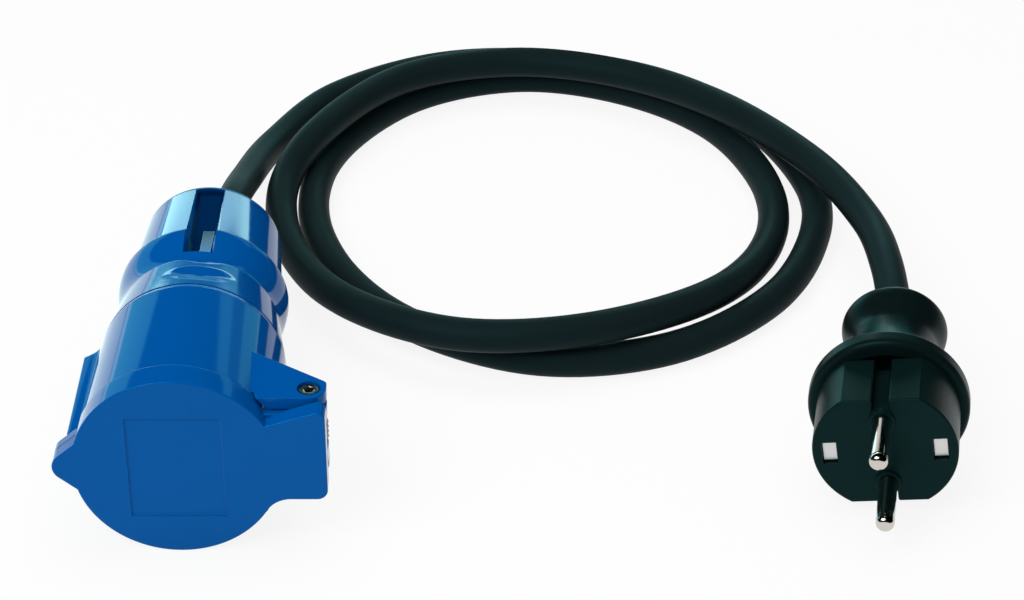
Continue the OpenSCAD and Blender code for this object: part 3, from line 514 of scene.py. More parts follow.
def soften(mesh, width, chosen=None, segments=3):
    """Rounds the sharp edges, or only those of them that a test picks."""
    sharp = [edge for edge in mesh.edges if len(edge.link_faces) == 2
             and edge.calc_face_angle() > SHARP_TURN and (chosen is None or chosen(edge))]
    bmesh.ops.bevel(mesh, geom=sharp, affect="EDGES", offset=width, offset_type="OFFSET",
                    segments=segments, profile=0.5, clamp_overlap=True, material=-1)
    return mesh


def joined(whole, *others):
    """Several meshes as one, each still a closed skin of its own."""
    for other in others:
        data = bpy.data.meshes.new("joining")
        other.to_mesh(data)
        other.free()
        whole.from_mesh(data)
        bpy.data.meshes.remove(data)
    return whole


# %% The tongue
TONGUE_X, TONGUE_W, TONGUE_LEN = -0.2, 3.2, 17.4
TONGUE_FOOT_R, TONGUE_REAR_R, TONGUE_FRONT_R = 17.3, 17.9, 19.6
TONGUE_OVER, TONGUE_ROUND = 0.5, 0.25
tongue_end = s_groove_end + TONGUE_OVER
tongue_start = tongue_end - TONGUE_LEN
tongue_side = [(tongue_start, TONGUE_FOOT_R), (tongue_end, TONGUE_FOOT_R),
               (tongue_end, TONGUE_FRONT_R), (tongue_start, TONGUE_REAR_R)]
tongue = soften(prism(tongue_side, -TONGUE_X - TONGUE_W, -TONGUE_X), TONGUE_ROUND)
upright = Matrix.Rotation(-math.pi / 2, 4, "Y")
moved(tongue, Matrix.Rotation(math.radians(GROOVE_TURN), 4, "Z") @ upright)
place(joined(handle_skin, tongue), "handle_skin", "shell_blue", "lead", CONNECTOR, "handle",
      finish="grip_blue")

# %% [markdown]
# ## The barrel
#
# The barrel widens a little toward its mouth and starts with a slanted lip. A key rib with a sloping
# end stands on the side away from the hinge, with the keyway inside it. A rib that is added later
# needs a union and a second rounding. Here each ring may have a wider radius on the key side, so the
# rib swells out of the wall and the keyway is part of the bore.

# %% The barrel's sizes
BARREL_R, BARREL_TAPER, BORE_R, LEDGE_R = 25.5, 1.1, 22.8, 20.4
MOUTH_GAP, MOUTH_ROUND, BORE_EDGE = 0.3, 0.5, 0.4
LIP, LIP_DEEP, LIP_EDGE = 1.8, 0.32, 0.15
LIP_KNEE_RISE, LIP_KNEE_WAY = 0.7, 0.6
RIB_R, RIB_BACK, RIB_RAMP = 28.2, 1.9, 3.6
KEYWAY_R, KEYWAY_WALL = 26.2, 0.01
RIB_W, KEY_W = (8.6, 12), (7.5, 7.5)
LEDGE_FROM, LEDGE_T = 7.6, 2
s_front = s_lid - MOUTH_GAP
s_ledge = s_seam + LEDGE_FROM
s_ledge_top = s_ledge + LEDGE_T
s_rib = s_barrel + RIB_BACK
s_rib_top = s_rib + RIB_RAMP
print("barrel", round(s_front - s_barrel, 1), "mm long")

# %% The barrel's radius
def barrel_r(s):
    """The outer radius at a place along the barrel."""
    return BARREL_R - BARREL_TAPER * (s_front - s) / (s_front - s_barrel - LIP)


def barrel_radius(level, turn):
    """The radius at a level, with a swelling on the key side where the level has one, wider at its foot."""
    r, s, wide, (far_width, near_width) = level
    off = abs(abs(turn) - math.pi)
    from_off = math.asin(far_width / 2 / max(wide, far_width))
    to_off = math.asin(near_width / 2 / max(r, near_width))
    return r if wide <= r else wide + (r - wide) * smooth((off - from_off) / (to_off - from_off))


# %% Stack the barrel
lip_foot = barrel_r(s_barrel) - LIP_DEEP
lip_round = [(lip_foot - LIP_EDGE, s_barrel), (lip_foot, s_barrel + LIP_EDGE),
             (lip_foot + LIP_DEEP * LIP_KNEE_RISE, s_barrel + LIP * LIP_KNEE_WAY),
             (barrel_r(s_barrel + LIP), s_barrel + LIP)]
mouth_round = arc((BARREL_R - MOUTH_ROUND, s_front - MOUTH_ROUND), MOUTH_ROUND, 0, 90, 4)
keyway = [(BORE_R + BORE_EDGE, s_front), (BORE_R, s_front - BORE_EDGE), (BORE_R, s_ledge_top + KEYWAY_WALL)]
ledge = [(BORE_R, s_ledge_top), (LEDGE_R, s_ledge_top), (LEDGE_R, s_ledge), (BORE_R, s_ledge)]
barrel_levels = [(BORE_R, s_barrel, 0, RIB_W)]
barrel_levels += [(r, s, 0, RIB_W) for r, s in lip_round]
barrel_levels += [(barrel_r(s_rib), s_rib, 0, RIB_W), (barrel_r(s_rib_top), s_rib_top, RIB_R, RIB_W)]
barrel_levels += [(r, s, RIB_R + r - BARREL_R, RIB_W) for r, s in mouth_round]
barrel_levels += [(r, s, KEYWAY_R, KEY_W) for r, s in keyway]
barrel_levels += [(r, s, 0, KEY_W) for r, s in ledge]
barrel_skin = stacked(barrel_levels, barrel_radius)
print("barrel rings:", len(barrel_levels))

# %% [markdown]
# ## The hinge's ears
#
# The two ears that hold the hinge pin are flat plates with a sloping rear edge, and the pin's rolled
# ends lie sunk in them. They run into the barrel's wall, so the wall's cylinder is cut off them, and in
# front of the mouth they keep clear of the lid's rim, which turns round the pin past them. These cuts
# lie about other axes than the plate's own, so Boolean tools are the plain way to make them.

# %% Blocks, rods and cutting
def block(low, high):
    """A box between two opposite corners."""
    mesh = bmesh.new()
    size = Vector(high) - Vector(low)
    bmesh.ops.create_cube(mesh, size=1)
    bmesh.ops.scale(mesh, vec=size, verts=mesh.verts)
    bmesh.ops.translate(mesh, vec=(Vector(low) + Vector(high)) / 2, verts=mesh.verts)
    return mesh


def rod(r, low, high, steps=96, top_r=None):
    """A cylinder on the work frame's Z, or a cone if its top has another radius."""
    mesh = bmesh.new()
    bmesh.ops.create_cone(mesh, cap_ends=True, segments=steps, radius1=r,
                          radius2=r if top_r is None else top_r, depth=high - low)
    bmesh.ops.translate(mesh, vec=(0, 0, (low + high) / 2), verts=mesh.verts)
    return mesh


def carve(mesh, *tools):
    """Takes the tools out of a mesh with Boolean modifiers."""
    objects = []
    for source in (mesh, *tools):
        bmesh.ops.recalc_face_normals(source, faces=source.faces)
        data = bpy.data.meshes.new("carving")
        source.to_mesh(data)
        source.free()
        objects.append(bpy.data.objects.new("carving", data))
        scene.collection.objects.link(objects[-1])
    for tool in objects[1:]:
        cut = objects[0].modifiers.new("cut", "BOOLEAN")
        cut.operation = "DIFFERENCE"
        cut.solver = "EXACT"
        cut.object = tool
    shaped = objects[0].evaluated_get(bpy.context.evaluated_depsgraph_get())
    result = bmesh.new()
    result.from_mesh(shaped.to_mesh())
    shaped.to_mesh_clear()
    for thing in objects:
        data = thing.data
        bpy.data.objects.remove(thing)
        bpy.data.meshes.remove(data)
    return result


# %% The hinge's axis and the ears' outline
EAR_R, EAR_BACK, EAR_CORNER_R = 4.3, 2.9, 1.6
EAR_SPAN, EAR_T, EAR_ANGLE = 24, 3.6, 35
hinge_place = Vector(frame["record"]["behaviour"]["joints"][0]["pos_m"])
hinge_x = (hinge_place.x - axis_x) / MM
hinge_rise = (hinge_place.z - axis_z) / MM
s_pin = along(hinge_place.y)
ON_PIN = Matrix.Translation((hinge_x, hinge_rise, s_pin)) @ TIP_BACK
ear_edge = hinge_x + EAR_R
ear_root = BORE_R / 2
ear_rear = s_pin - EAR_BACK
slant = math.radians(EAR_ANGLE)
ear_corner = (ear_edge - EAR_CORNER_R, ear_rear + EAR_CORNER_R * (1 / math.cos(slant) - math.tan(slant)))
ear_points = [(ear_root, ear_rear - (ear_edge - ear_root) * math.tan(slant)),
              *arc(ear_corner, EAR_CORNER_R, EAR_ANGLE - 90, 0, 6),
              *arc((hinge_x, s_pin), EAR_R, 0, 90),
              (ear_root, s_pin + EAR_R)]
print("hinge", round(hinge_x, 1), "mm to the side and", round(s_pin, 1), "mm along")

# %% Plates and tools for the hinge
PLATE_ROUND = 0.35
LID_R, RIM_GAP, CONE_PAST = 26, 0.6, 0.01


def standing(points, low, high):
    """An outline drawn across and along the connector, as a plate between two heights."""
    plate = soften(prism(points, 0, high - low), PLATE_ROUND)
    return moved(plate, Matrix.Translation((0, high, 0)) @ TIP_BACK)


def pin_hole(r, start=-EAR_SPAN):
    """A tool that drills the hinge pin's hole, or its sunk end from a start on."""
    return moved(rod(r, start, start + 2 * EAR_SPAN, 48), ON_PIN)


def swing_r(y):
    """How far from the pin an ear may run at a height, to clear the lid's rim as it turns."""
    return math.hypot(hinge_x - math.sqrt(LID_R ** 2 - y ** 2), s_lid - s_pin) - RIM_GAP


def rim_room(low, high):
    """A tool that takes away what the lid's rim sweeps: all in front of the mouth but a cone."""
    cone = rod(swing_r(low), low, high, 160, swing_r(high))
    moved(cone, Matrix.Translation((hinge_x, 0, s_pin)) @ Matrix.Rotation(-math.pi / 2, 4, "X"))
    return carve(block((0, low + CONE_PAST, s_front), (hinge_x, high - CONE_PAST, s_face)), cone)


# %% Cut the ears and join them to the barrel
WALL_MIDDLE_R, WALL_PAST = 24, 10
EAR_HOLE_R, SUNK_R, SUNK_DEEP, ROOM_PAST = 2.3, 3, 1.3, 0.5
sunk_floor = EAR_SPAN / 2 - SUNK_DEEP
ears = []
for side in (-1, 1):
    ear_low = hinge_rise + side * (EAR_SPAN / 2 - EAR_T / 2) - EAR_T / 2
    ear = standing(ear_points, ear_low, ear_low + EAR_T)
    room = rim_room(ear_low - ROOM_PAST, ear_low + EAR_T + ROOM_PAST)
    wall = rod(WALL_MIDDLE_R, 0, s_face + WALL_PAST, 192)
    sunk_end = pin_hole(SUNK_R, sunk_floor if side < 0 else -sunk_floor - 2 * EAR_SPAN)
    ears.append(carve(ear, room, wall, pin_hole(EAR_HOLE_R), sunk_end))
place(joined(barrel_skin, *ears), "barrel_skin", "shell_blue", "lead", CONNECTOR, "barrel")

# %% [markdown]
# ## The hinge pin
#
# The pin is a hollow steel tube whose ends are rolled a little wider. It could be a rod with a hole
# cut through it. A closed profile spun round the axis gives wall, bore and rounded ends at once.

# %% Spun profiles
LATHE_MERGE = 0.0005


def lathe(corners, round_mm=0.0, closed=True, steps=128):
    """Corners given as (radius, height), rounded and spun round the work frame's Z."""
    mesh = bmesh.new()
    ring = [mesh.verts.new((r, 0, z)) for r, z in corners]
    follow = ring[1:] + ring[:1] if closed else ring[1:]
    for a, b in zip(ring, follow):
        mesh.edges.new((a, b))
    if round_mm:
        inner = [vert for vert in ring if vert.co.x > 0 and len(vert.link_edges) == 2]
        bmesh.ops.bevel(mesh, geom=inner, affect="VERTICES", offset=round_mm, offset_type="OFFSET",
                        segments=4, profile=0.5, material=-1)
    bmesh.ops.spin(mesh, geom=mesh.verts[:] + mesh.edges[:], cent=(0, 0, 0), axis=(0, 0, 1),
                   angle=2 * math.pi, steps=steps, use_merge=True)
    bmesh.ops.remove_doubles(mesh, verts=mesh.verts, dist=LATHE_MERGE)
    return mesh


# %% The hinge pin
PIN_R, PIN_HEAD_R, PIN_BORE, PIN_SUNK = 2.2, 2.6, 1.2, 0.4
PIN_ROLL, PIN_ROUND = 0.9, 0.25
pin_half = EAR_SPAN / 2 - PIN_SUNK
pin_plain = pin_half - PIN_ROLL
pin_corners = [(PIN_BORE, -pin_half), (PIN_HEAD_R, -pin_half), (PIN_R, -pin_plain),
               (PIN_R, pin_plain), (PIN_HEAD_R, pin_half), (PIN_BORE, pin_half)]
pin_tube = moved(lathe(pin_corners, PIN_ROUND, steps=48), ON_PIN)
place(pin_tube, "hinge_pin_tube", "screw_steel", "lead", CONNECTOR, "hinge_pin")

# %% [markdown]
# ## The lid
#
# Seen from the front the lid is a disc with a thumb nub on one side and the hinge's plate on the
# other. The plate is level below, slopes above and has rounded corners. Three shapes could be united,
# but the rounded front edge would break where they meet. So one outline takes in all three: arcs for
# the round stretches, and short sums for the places where a straight edge meets the disc. The rim
# behind it is only the disc and the nub. A bare rectangle is sunk into the face.

# %% The lid's outline
PLATE_LOW, PLATE_HIGH, PLATE_SLOPE = -9.9, 16.7, 18
LOW_ROUND, HIGH_ROUND, BLEND_R = 2.7, 2, 7
NUB_TIP_R, NUB_FLANK = 4, 40
lid_low, lid_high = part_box("lid")
lid_reach = (lid_high.x - axis_x) / MM
nub_x = (lid_low.x - axis_x) / MM + NUB_TIP_R


def meets_disc(point, angle):
    """Where a straight edge through a point, running at an angle, first meets the lid's disc."""
    way = Vector((math.cos(math.radians(angle)), math.sin(math.radians(angle))))
    start = Vector(point)
    middle = -start.dot(way)
    half = math.sqrt(LID_R ** 2 - start.length_squared + middle ** 2)
    return start + way * (middle - half)


def turn_of(point):
    """The angle of a point round the lid's middle, in degrees."""
    return math.degrees(math.atan2(point[1], point[0])) % 360


high_corner = (lid_reach - HIGH_ROUND, PLATE_HIGH - HIGH_ROUND)
low_corner = (lid_reach - LOW_ROUND, PLATE_LOW + LOW_ROUND)
plate_top = arc(high_corner, HIGH_ROUND, 0, 90 + PLATE_SLOPE, 8)
slope_meet = turn_of(meets_disc(plate_top[-1], 180 + PLATE_SLOPE))
nub_tip = arc((nub_x, 0), NUB_TIP_R, 90 + NUB_FLANK, 270 - NUB_FLANK)
nub_meet = turn_of(meets_disc(nub_tip[0], NUB_FLANK))
blend_y = PLATE_LOW - BLEND_R
blend_x = math.sqrt((LID_R + BLEND_R) ** 2 - blend_y ** 2)
blend_meet = turn_of((blend_x, blend_y))
upper_disc = arc((0, 0), LID_R, slope_meet, nub_meet, 72)
lower_disc = arc((0, 0), LID_R, 360 - nub_meet, blend_meet, 64)
blend = arc((blend_x, blend_y), BLEND_R, blend_meet - 180, 90, 10)
front_points = (plate_top + upper_disc + nub_tip + lower_disc + blend
                + arc(low_corner, LOW_ROUND, -90, 0, 8))
rim_points = arc((0, 0), LID_R, -nub_meet, nub_meet, 160) + nub_tip
print("lid outline:", len(front_points), "points")

# %% The lid's front and rim
LID_ROUND, LID_SKIN, HOLLOW_R = 1.4, 2.6, 20.9
GASKET_T, GASKET_OUT = 2.4, 24.7
PANEL_W, PANEL_H, PANEL_DEEP, PANEL_ROUND = 24, 30, 0.5, 0.4
SLAB_AHEAD, RIM_LAP, RIM_ROUND = 4.9, 0.6, 0.4
CUT_PAST, AT_EDGE = 1, 0.01
s_slab = s_pin + SLAB_AHEAD
hollow_top = s_face - LID_SKIN


def hollow_tools():
    """The tools that cut the gasket's seat and the hollow behind the face."""
    cut_from = s_lid - CUT_PAST
    return rod(GASKET_OUT, cut_from, s_lid + GASKET_T, 160), rod(HOLLOW_R, cut_from, hollow_top, 160)


front = prism(front_points, s_slab, s_face)
soften(front, LID_ROUND, lambda edge: min(vert.co.z for vert in edge.verts) > s_face - AT_EDGE, 5)
panel = block((-PANEL_W / 2, -PANEL_H / 2, s_face - PANEL_DEEP),
              (PANEL_W / 2, PANEL_H / 2, s_face + CUT_PAST))
front = carve(front, rod(HOLLOW_R, s_lid, hollow_top, 160), soften(panel, PANEL_ROUND))
rim = prism(rim_points, s_lid, s_slab + RIM_LAP)
soften(rim, RIM_ROUND, lambda edge: max(vert.co.z for vert in edge.verts) < s_lid + AT_EDGE)
rim = carve(rim, *hollow_tools())
print("lid front faces:", len(front.faces), "rim faces:", len(rim.faces))

# %% The lid's knuckles
KNUCKLE_R, KNUCKLE_H, KNUCKLE_GAP, KNUCKLE_LAP = 4.4, 4, 0.3, 1
WEB_X, PIN_PLAY = 18.8, 0.15
s_knuckle = s_slab + KNUCKLE_LAP
knuckle_points = [(hinge_x + KNUCKLE_R, s_knuckle), (WEB_X, s_knuckle), (WEB_X, s_lid),
                  (hinge_x - KNUCKLE_R, s_lid), *arc((hinge_x, s_pin), KNUCKLE_R, 180, 360, 16)]
knuckle_half = EAR_SPAN / 2 - EAR_T - KNUCKLE_GAP
knuckles = []
for low in (hinge_rise - knuckle_half, hinge_rise + knuckle_half - KNUCKLE_H):
    knuckle = standing(knuckle_points, low, low + KNUCKLE_H)
    knuckles.append(carve(knuckle, pin_hole(PIN_R + PIN_PLAY), *hollow_tools()))
place(joined(front, rim, *knuckles), "lid_skin", "shell_blue", "lid", CONNECTOR, "lid")

# %% [markdown]
# ## The plug's front
#
# The plug's front is a round block with a flat above and below, a guide groove in each flat, two
# earth windows and a low collar round each pin. The grooves run its whole length, so they are part of
# the outline that is pushed out. The windows end inside it, so they are cut, and the collars are spun.

# %% The plug's front
PLUG_R, PLUG_FLAT, PLUG_FRONT, FRONT_ROUND = 18.6, 15.8, 19, 0.6
GUIDE_W, GUIDE_DEEP = 4.2, 3.4
EARTH_PITCH, WINDOW_W, WINDOW_H, WINDOW_DEEP, WINDOW_PAST = 28.2, 3.8, 6.6, 8, 2
flat_turn = math.degrees(math.asin(PLUG_FLAT / PLUG_R))
guide_floor = PLUG_FLAT - GUIDE_DEEP
guide = [(GUIDE_W / 2, PLUG_FLAT), (GUIDE_W / 2, guide_floor), (-GUIDE_W / 2, guide_floor),
         (-GUIDE_W / 2, PLUG_FLAT)]
half_points = arc((0, 0), PLUG_R, -flat_turn, flat_turn, 48) + guide
front_block = prism(half_points + [(-x, -y) for x, y in half_points], -PLUG_FRONT, 0)
soften(front_block, FRONT_ROUND, segments=4)
windows = [block((side * EARTH_PITCH / 2 - WINDOW_W / 2, -WINDOW_H / 2, -WINDOW_DEEP),
                 (side * EARTH_PITCH / 2 + WINDOW_W / 2, WINDOW_H / 2, WINDOW_PAST)) for side in (-1, 1)]
front_block = carve(front_block, *windows)
print("plug front faces:", len(front_block.faces))

# %% The collars round the pins
PIN_NECK_R, COLLAR_R, COLLAR_H = 2.1, 3.4, 0.8
COLLAR_PLAY, COLLAR_ROOT, COLLAR_ROUND = 0.05, 1, 0.25
collar_hole = PIN_NECK_R + COLLAR_PLAY
collars = []
for side in (-1, 1):
    collar = lathe([(collar_hole, -COLLAR_ROOT), (COLLAR_R, -COLLAR_ROOT), (COLLAR_R, COLLAR_H),
                    (collar_hole, COLLAR_H)], COLLAR_ROUND, steps=64)
    collars.append(moved(collar, Matrix.Translation((0, side * pin_pitch / 2, 0))))
plug_front = place(joined(front_block, *collars), "plug_front_skin", "plug_moulding", "lead", PLUG,
                   "plug_insert")

# %% [markdown]
# ## The plug's housing
#
# Behind the front the rubber housing starts with a flange, narrows to a neck and swells to a knob.
# All of it is round, so one profile is spun. Each stretch has its own rule for the radius, which is
# easier to change than a list of points.

# %% The plug's housing
FLANGE_R, FLANGE_T, FLANGE_RIM = 21, 6, 1.6
NECK_R, NECK_ROOT_R, NECK_LEN, NECK_CURVE = 11.8, 18.3, 21, 2.5
KNOB_R, TAIL_R, TAIL_LEN, TAIL_CURVE = 14.2, 6.6, 6.6, 1.8
PLUG_LEN, CABLE_HOLE, INNER_R, INNER_BACK = 62, 4.8, 16.7, 5.5
z_flange = -PLUG_FRONT
z_neck = z_flange - FLANGE_T
z_waist = z_neck - NECK_LEN
z_rear = -PLUG_LEN
z_knob = z_rear + TAIL_LEN
z_inner = z_flange - INNER_BACK


def stretch(z_from, z_to, count, first, radius_at):
    """A stretch of the profile; radius_at gives the radius for the share of the way along it."""
    return [(radius_at(k / count), z_from + (z_to - z_from) * k / count) for k in range(first, count + 1)]


flange_front = arc((FLANGE_R - FLANGE_RIM, z_flange - FLANGE_RIM), FLANGE_RIM, 90, 0, 6)
flange_back = arc((FLANGE_R - FLANGE_RIM, z_neck + FLANGE_RIM), FLANGE_RIM, 0, -90, 6)
neck = stretch(z_neck, z_waist, 16, 0, lambda t: NECK_R + (NECK_ROOT_R - NECK_R) * (1 - t) ** NECK_CURVE)
swell = stretch(z_waist, z_knob, 14, 1, lambda t: NECK_R + (KNOB_R - NECK_R) * ease(t))
tail = stretch(z_knob, z_rear, 16, 1, lambda t: KNOB_R - (KNOB_R - TAIL_R) * t ** TAIL_CURVE)
housing = lathe([(INNER_R, z_flange), *flange_front, *flange_back, *neck, *swell, *tail,
                 (CABLE_HOLE, z_rear), (CABLE_HOLE, z_inner), (INNER_R, z_inner)])
plug_body = place(housing, "plug_housing_skin", "plug_rubber", "lead", PLUG, "plug_housing")

# %% [markdown]
# ## The plug's pins
#
# The pins are plain nickel rods with a narrow foot, a domed tip and a fine line turned just behind the
# tip. The line could be bump in the finish, but it is a real cut, so it is in the profile that is spun.

# %% The pins
PLUG_PIN_R, PIN_ROOT = 2.4, 6
FOOT_LEN, FOOT_STEP = 0.4, 0.1
LINE_DEEP, LINE_HALF, LINE_BACK = 0.12, 0.2, 0.7
z_foot = COLLAR_H + FOOT_LEN
z_line = PIN_LEN - PIN_DOME - LINE_BACK
dome = arc((PLUG_PIN_R - PIN_DOME, PIN_LEN - PIN_DOME), PIN_DOME, 0, 90, 8)
pin_profile = [(0, -PIN_ROOT), (PIN_NECK_R, -PIN_ROOT), (PIN_NECK_R, z_foot),
               (PLUG_PIN_R, z_foot + FOOT_STEP), (PLUG_PIN_R, z_line - LINE_HALF),
               (PLUG_PIN_R - LINE_DEEP, z_line), (PLUG_PIN_R, z_line + LINE_HALF), *dome, (0, PIN_LEN)]
pin_rods = []
for node, side in (("upper_pin", 1), ("lower_pin", -1)):
    on_pin_axis = Matrix.Translation((0, side * pin_pitch / 2, 0))
    pin_mesh = moved(lathe(pin_profile, closed=False, steps=64), on_pin_axis)
    pin_rods.append(place(pin_mesh, node + "_rod", "pin_nickel", "lead", PLUG, node))

# %% [markdown]
# ## The cable
#
# The cable is a fixed length of stiff rubber flex, about 1.4 m between the two ends, and the photo
# shows all of it. A tube of rings could follow its route, but a Bezier curve with a round bevel is
# smooth with far fewer points. When each handle points along the line between the two neighbouring
# points, and is a sixth of that line long, the curve passes smoothly through every point. Both ends
# run a little way on into the gland and the plug.

# %% The cable's route
INTO_END = 10
ROUTE_MM = [
    (-0.6, 80, 23.5), (0.9, 108, 15), (6.5, 144, 6.5), (24, 177, 5), (57, 197.5, 5), (95, 199, 5),
    (130, 185.5, 5), (157, 158, 5), (171, 122, 5), (170, 91, 5), (155, 57, 5), (125, 32, 5),
    (88, 26.5, 5), (53, 43, 5), (31, 71, 5), (20.8, 107, 5), (26, 143, 5), (49, 176, 5),
    (83, 189.5, 5), (117, 180.5, 5), (144, 157, 5), (158, 121, 5), (156, 86, 6), (138, 51, 11),
    (103, 26, 15.6), (66, 24, 15), (35, 43.5, 12.5), (17.5, 74, 9.5), (11.6, 108, 10.3), (21, 136, 15),
    (45, 169.5, 15.2), (80, 183.5, 14), (115, 176, 14), (146, 152.5, 15), (171, 117.5, 15.5),
    (183.5, 83, 16.5), (186, 52, 20),
]
gland_end = Vector((axis_x, rear_y, axis_z))
plug_end = PLUG @ Vector((0, 0, z_rear))
gland_inside = gland_end + Vector((0, -INTO_END * MM, 0))
plug_inside = plug_end + plug_z * INTO_END * MM
route = [gland_end] + [Vector(point) * MM for point in ROUTE_MM] + [plug_end]
stations = [gland_inside] + route + [plug_inside]
print("cable points:", len(stations))

# %% Lay the cable
CABLE_MM = 9.4
cable_curve = bpy.data.curves.new("cable_flex", "CURVE")
cable_curve.dimensions = "3D"
cable_curve.bevel_depth = CABLE_MM / 2 * MM
cable_curve.bevel_resolution = 8
cable_curve.resolution_u = 10
cable_curve.use_fill_caps = True
spline = cable_curve.splines.new("BEZIER")
spline.bezier_points.add(len(stations) - 1)
for i, point in enumerate(spline.bezier_points):
    before = stations[max(i - 1, 0)]
    after = stations[min(i + 1, len(stations) - 1)]
    point.co = stations[i]
    point.handle_left = stations[i] - (after - before) / 6
    point.handle_right = stations[i] + (after - before) / 6
cable_curve.materials.append(finishes["cable_rubber"])
cable = bpy.data.objects.new("cable_flex", cable_curve)
scene.collection.objects.link(cable)
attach(cable, "lead")
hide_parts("cable")
print("cable laid,", CABLE_MM, "mm thick")

# %% [markdown]
# ## Floor and light
#
# The photo has a plain white ground. More light on a white sheet would bleach the object too. So the
# floor is a white sheet that takes the shadows, and most of what the camera, mirrors and glass see of
# it is plain white. Two large soft boxes hang above it, one over the front left and one over the
# middle, and light the object at a plain level.

# %% White paper
def white_ground(name, plain_share):
    """White paper: mostly plain white to the camera, with enough real surface to keep the shadows."""
    paper = bpy.data.materials.new(name)
    paper.use_nodes = True
    tree = paper.node_tree
    surface = tree.nodes["Principled BSDF"]
    surface.inputs["Base Color"].default_value = (0.9, 0.9, 0.9, 1)
    surface.inputs["Roughness"].default_value = 0.9
    surface.inputs["Specular IOR Level"].default_value = 0.1
    glow = tree.nodes.new("ShaderNodeEmission")
    glow.inputs["Color"].default_value = (1, 1, 1, 1)
    path = tree.nodes.new("ShaderNodeLightPath")
    share = tree.nodes.new("ShaderNodeMath")
    share.operation = "MULTIPLY"
    share.inputs[1].default_value = plain_share
    mix = tree.nodes.new("ShaderNodeMixShader")
    wires = tree.links.new
    seen = path.outputs["Is Camera Ray"]
    for kind in ("Is Glossy Ray", "Is Transmission Ray"):
        either = tree.nodes.new("ShaderNodeMath")
        either.operation = "MAXIMUM"
        wires(seen, either.inputs[0])
        wires(path.outputs[kind], either.inputs[1])
        seen = either.outputs[0]
    wires(seen, share.inputs[0])
    wires(share.outputs[0], mix.inputs["Fac"])
    wires(surface.outputs[0], mix.inputs[1])
    wires(glow.outputs[0], mix.inputs[2])
    wires(mix.outputs[0], tree.nodes["Material Output"].inputs["Surface"])
    return paper


# %% Lay the floor
FLOOR_SIZE, PLAIN_SHARE = 4.0, 0.88


def stage_piece(name, mesh, material):
    """A piece of the set, which isn't part of the object."""
    data = bpy.data.meshes.new(name)
    mesh.to_mesh(data)
    mesh.free()
    data.materials.append(material)
    piece = bpy.data.objects.new(name, data)
    scene.collection.objects.link(piece)
    return piece


sheet = bmesh.new()
bmesh.ops.create_grid(sheet, x_segments=1, y_segments=1, size=FLOOR_SIZE)
stage_piece("floor", sheet, white_ground("white_paper", PLAIN_SHARE))
print("floor laid")

# %% Hang the lamps
def soft_lamp(name, spot, aim, size, watts):
    """A rectangular soft box that faces a point."""
    data = bpy.data.lights.new(name, "AREA")
    data.shape = "RECTANGLE"
    data.size, data.size_y = size
    data.energy = watts
    lamp = bpy.data.objects.new(name, data)
    lamp.location = spot
    lamp.rotation_euler = (Vector(aim) - Vector(spot)).to_track_quat("-Z", "Y").to_euler()
    scene.collection.objects.link(lamp)
    return lamp


soft_lamp("front_box", spot=(-0.5, -0.75, 1.0), aim=(0.05, 0, 0), size=(0.9, 0.7), watts=11)
top_box = soft_lamp("top_box", spot=(0.1, 0.25, 1.3), aim=(0.08, 0.05, 0), size=(1.2, 0.8), watts=7)
top_box.visible_glossy = False
print("soft boxes:", len(bpy.data.lights))

# %% [markdown]
# ## What the gloss mirrors
#
# Glossy plastic looks like what it mirrors. In the photo two pale streaks run along the nut and a
# fainter sheen lies over the flare and the barrel's left side, so there are bright screens behind the
# object. Painted on, the streaks would stay put when the view changes. So these are cards that only
# reflections can see: they add no light of their own to the surfaces. The streaks' cards lean to one
# side, because the streaks run along a cone. Another card lies on the floor at the left, and two small
# ones are there for the plug's pins alone. A black flag stands behind the plug, whose dark side it
# keeps dark.

# %% Stand the cards behind
STREAK, SWEEP, PLAIN = (0.65, 1.0, 0.92), (0.22, 0.95, 1.0), (1, 1, 1)


def mirror_card(name, middle, size, glow, colour, tilt=0):
    """A glowing upright card that shows in reflections alone; it may lean over to one side."""
    aim = Vector(middle) - Vector((0, 1, 0))
    card = soft_lamp(name, middle, aim, size, glow * math.pi * size[0] * size[1])
    card.rotation_euler.rotate_axis("Z", -math.radians(tilt))
    card.data.color = colour
    card.visible_diffuse = False
    return card


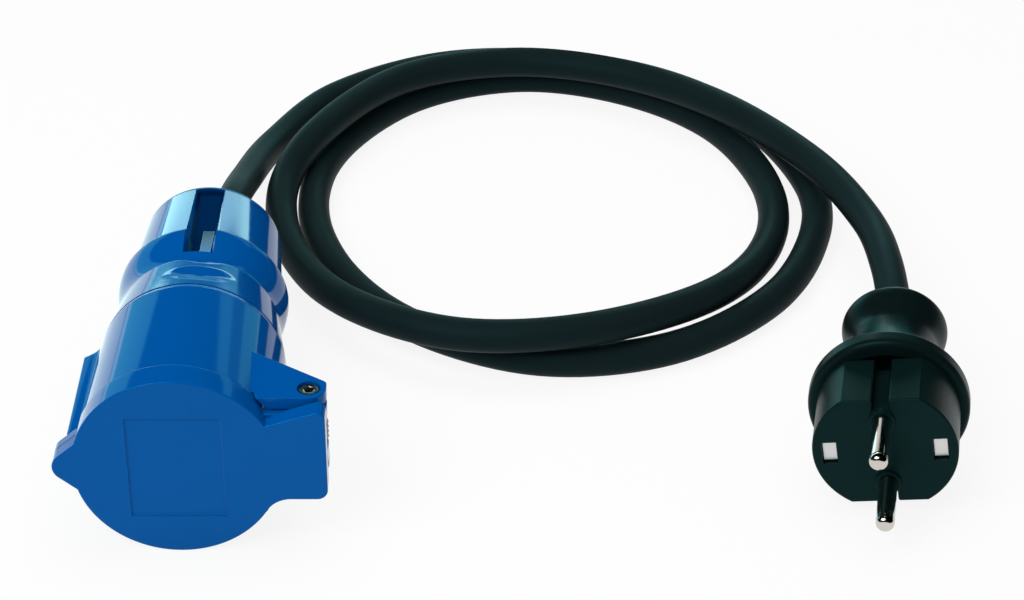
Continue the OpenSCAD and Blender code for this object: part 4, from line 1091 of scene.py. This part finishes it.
mirror_card("streak_right", (0.162, 0.64, 0.216), (0.34, 0.06), 6.1, STREAK, -37)
mirror_card("streak_left", (-0.249, 0.64, 0.156), (0.25, 0.06), 5.5, STREAK, 55)
mirror_card("streak_top", (-0.055, 0.64, 0.288), (0.19, 0.033), 3, STREAK)
mirror_card("sweep_left", (-0.525, 0.66, 0.15), (0.75, 0.30), 1.25, SWEEP)
mirror_card("sweep_low", (0.155, 0.66, 0.10), (0.61, 0.20), 1.25, SWEEP)
mirror_card("sweep_high", (0.155, 0.66, 0.25), (0.61, 0.10), 0.4, SWEEP)
mirror_card("sweep_right", (0.30, 0.66, 0.34), (0.32, 0.08), 1.25, SWEEP)
mirror_card("sweep_middle", (-0.03, 0.66, 0.125), (0.34, 0.15), 0.9, SWEEP)
floor_card = mirror_card("floor_card", (-0.22, 0.17, 0.003), (0.38, 0.46), 0.65, STREAK)
floor_card.rotation_euler = (math.pi, 0, 0)
print("lamps and cards:", len(bpy.data.lights))

# %% Two cards for the pins alone
PIN_GLOW = 0.9
pin_room = bpy.data.collections.new("pin_room")
for pin_rod in pin_rods:
    pin_room.objects.link(pin_rod)
for name, middle, size in (("pin_card_left", (0.13, 0.10, 0.085), (0.12, 0.11)),
                           ("pin_card_right", (0.285, 0.10, 0.05), (0.05, 0.1))):
    pin_card = mirror_card(name, middle, size, PIN_GLOW, PLAIN)
    pin_card.light_linking.receiver_collection = pin_room

# %% Stand the black flag behind the plug
FLAG_Y, FLAG_BACK = 0.26, 0.262
black = bpy.data.materials.new("black_card")
black.use_nodes = True
black_shader = black.node_tree.nodes["Principled BSDF"]
black_shader.inputs["Base Color"].default_value = (0, 0, 0, 1)
black_shader.inputs["Specular IOR Level"].default_value = 0
flag_mesh = joined(block((0.085, FLAG_Y, 0.001), (0.135, FLAG_BACK, 0.073)),
                   block((0.135, FLAG_Y, 0.005), (0.3, FLAG_BACK, 0.035)))
flag = stage_piece("flag", flag_mesh, black)
flag.visible_camera = False
flag.visible_diffuse = False
flag.visible_shadow = False
flag.visible_transmission = False
print("the flag stands at y =", FLAG_Y)

# %% [markdown]
# ## The room
#
# An even white world fills the shadows. Reflections don't see it, so the gloss shows the floor and the
# cards and nothing else.

# %% Light the room
FILL = 0.3
world = bpy.data.worlds.new("studio")
world.use_nodes = True
world.node_tree.nodes["Background"].inputs["Color"].default_value = (1, 1, 1, 1)
world.node_tree.nodes["Background"].inputs["Strength"].default_value = FILL
world.cycles_visibility.glossy = False
scene.world = world
print("the world's strength", FILL)
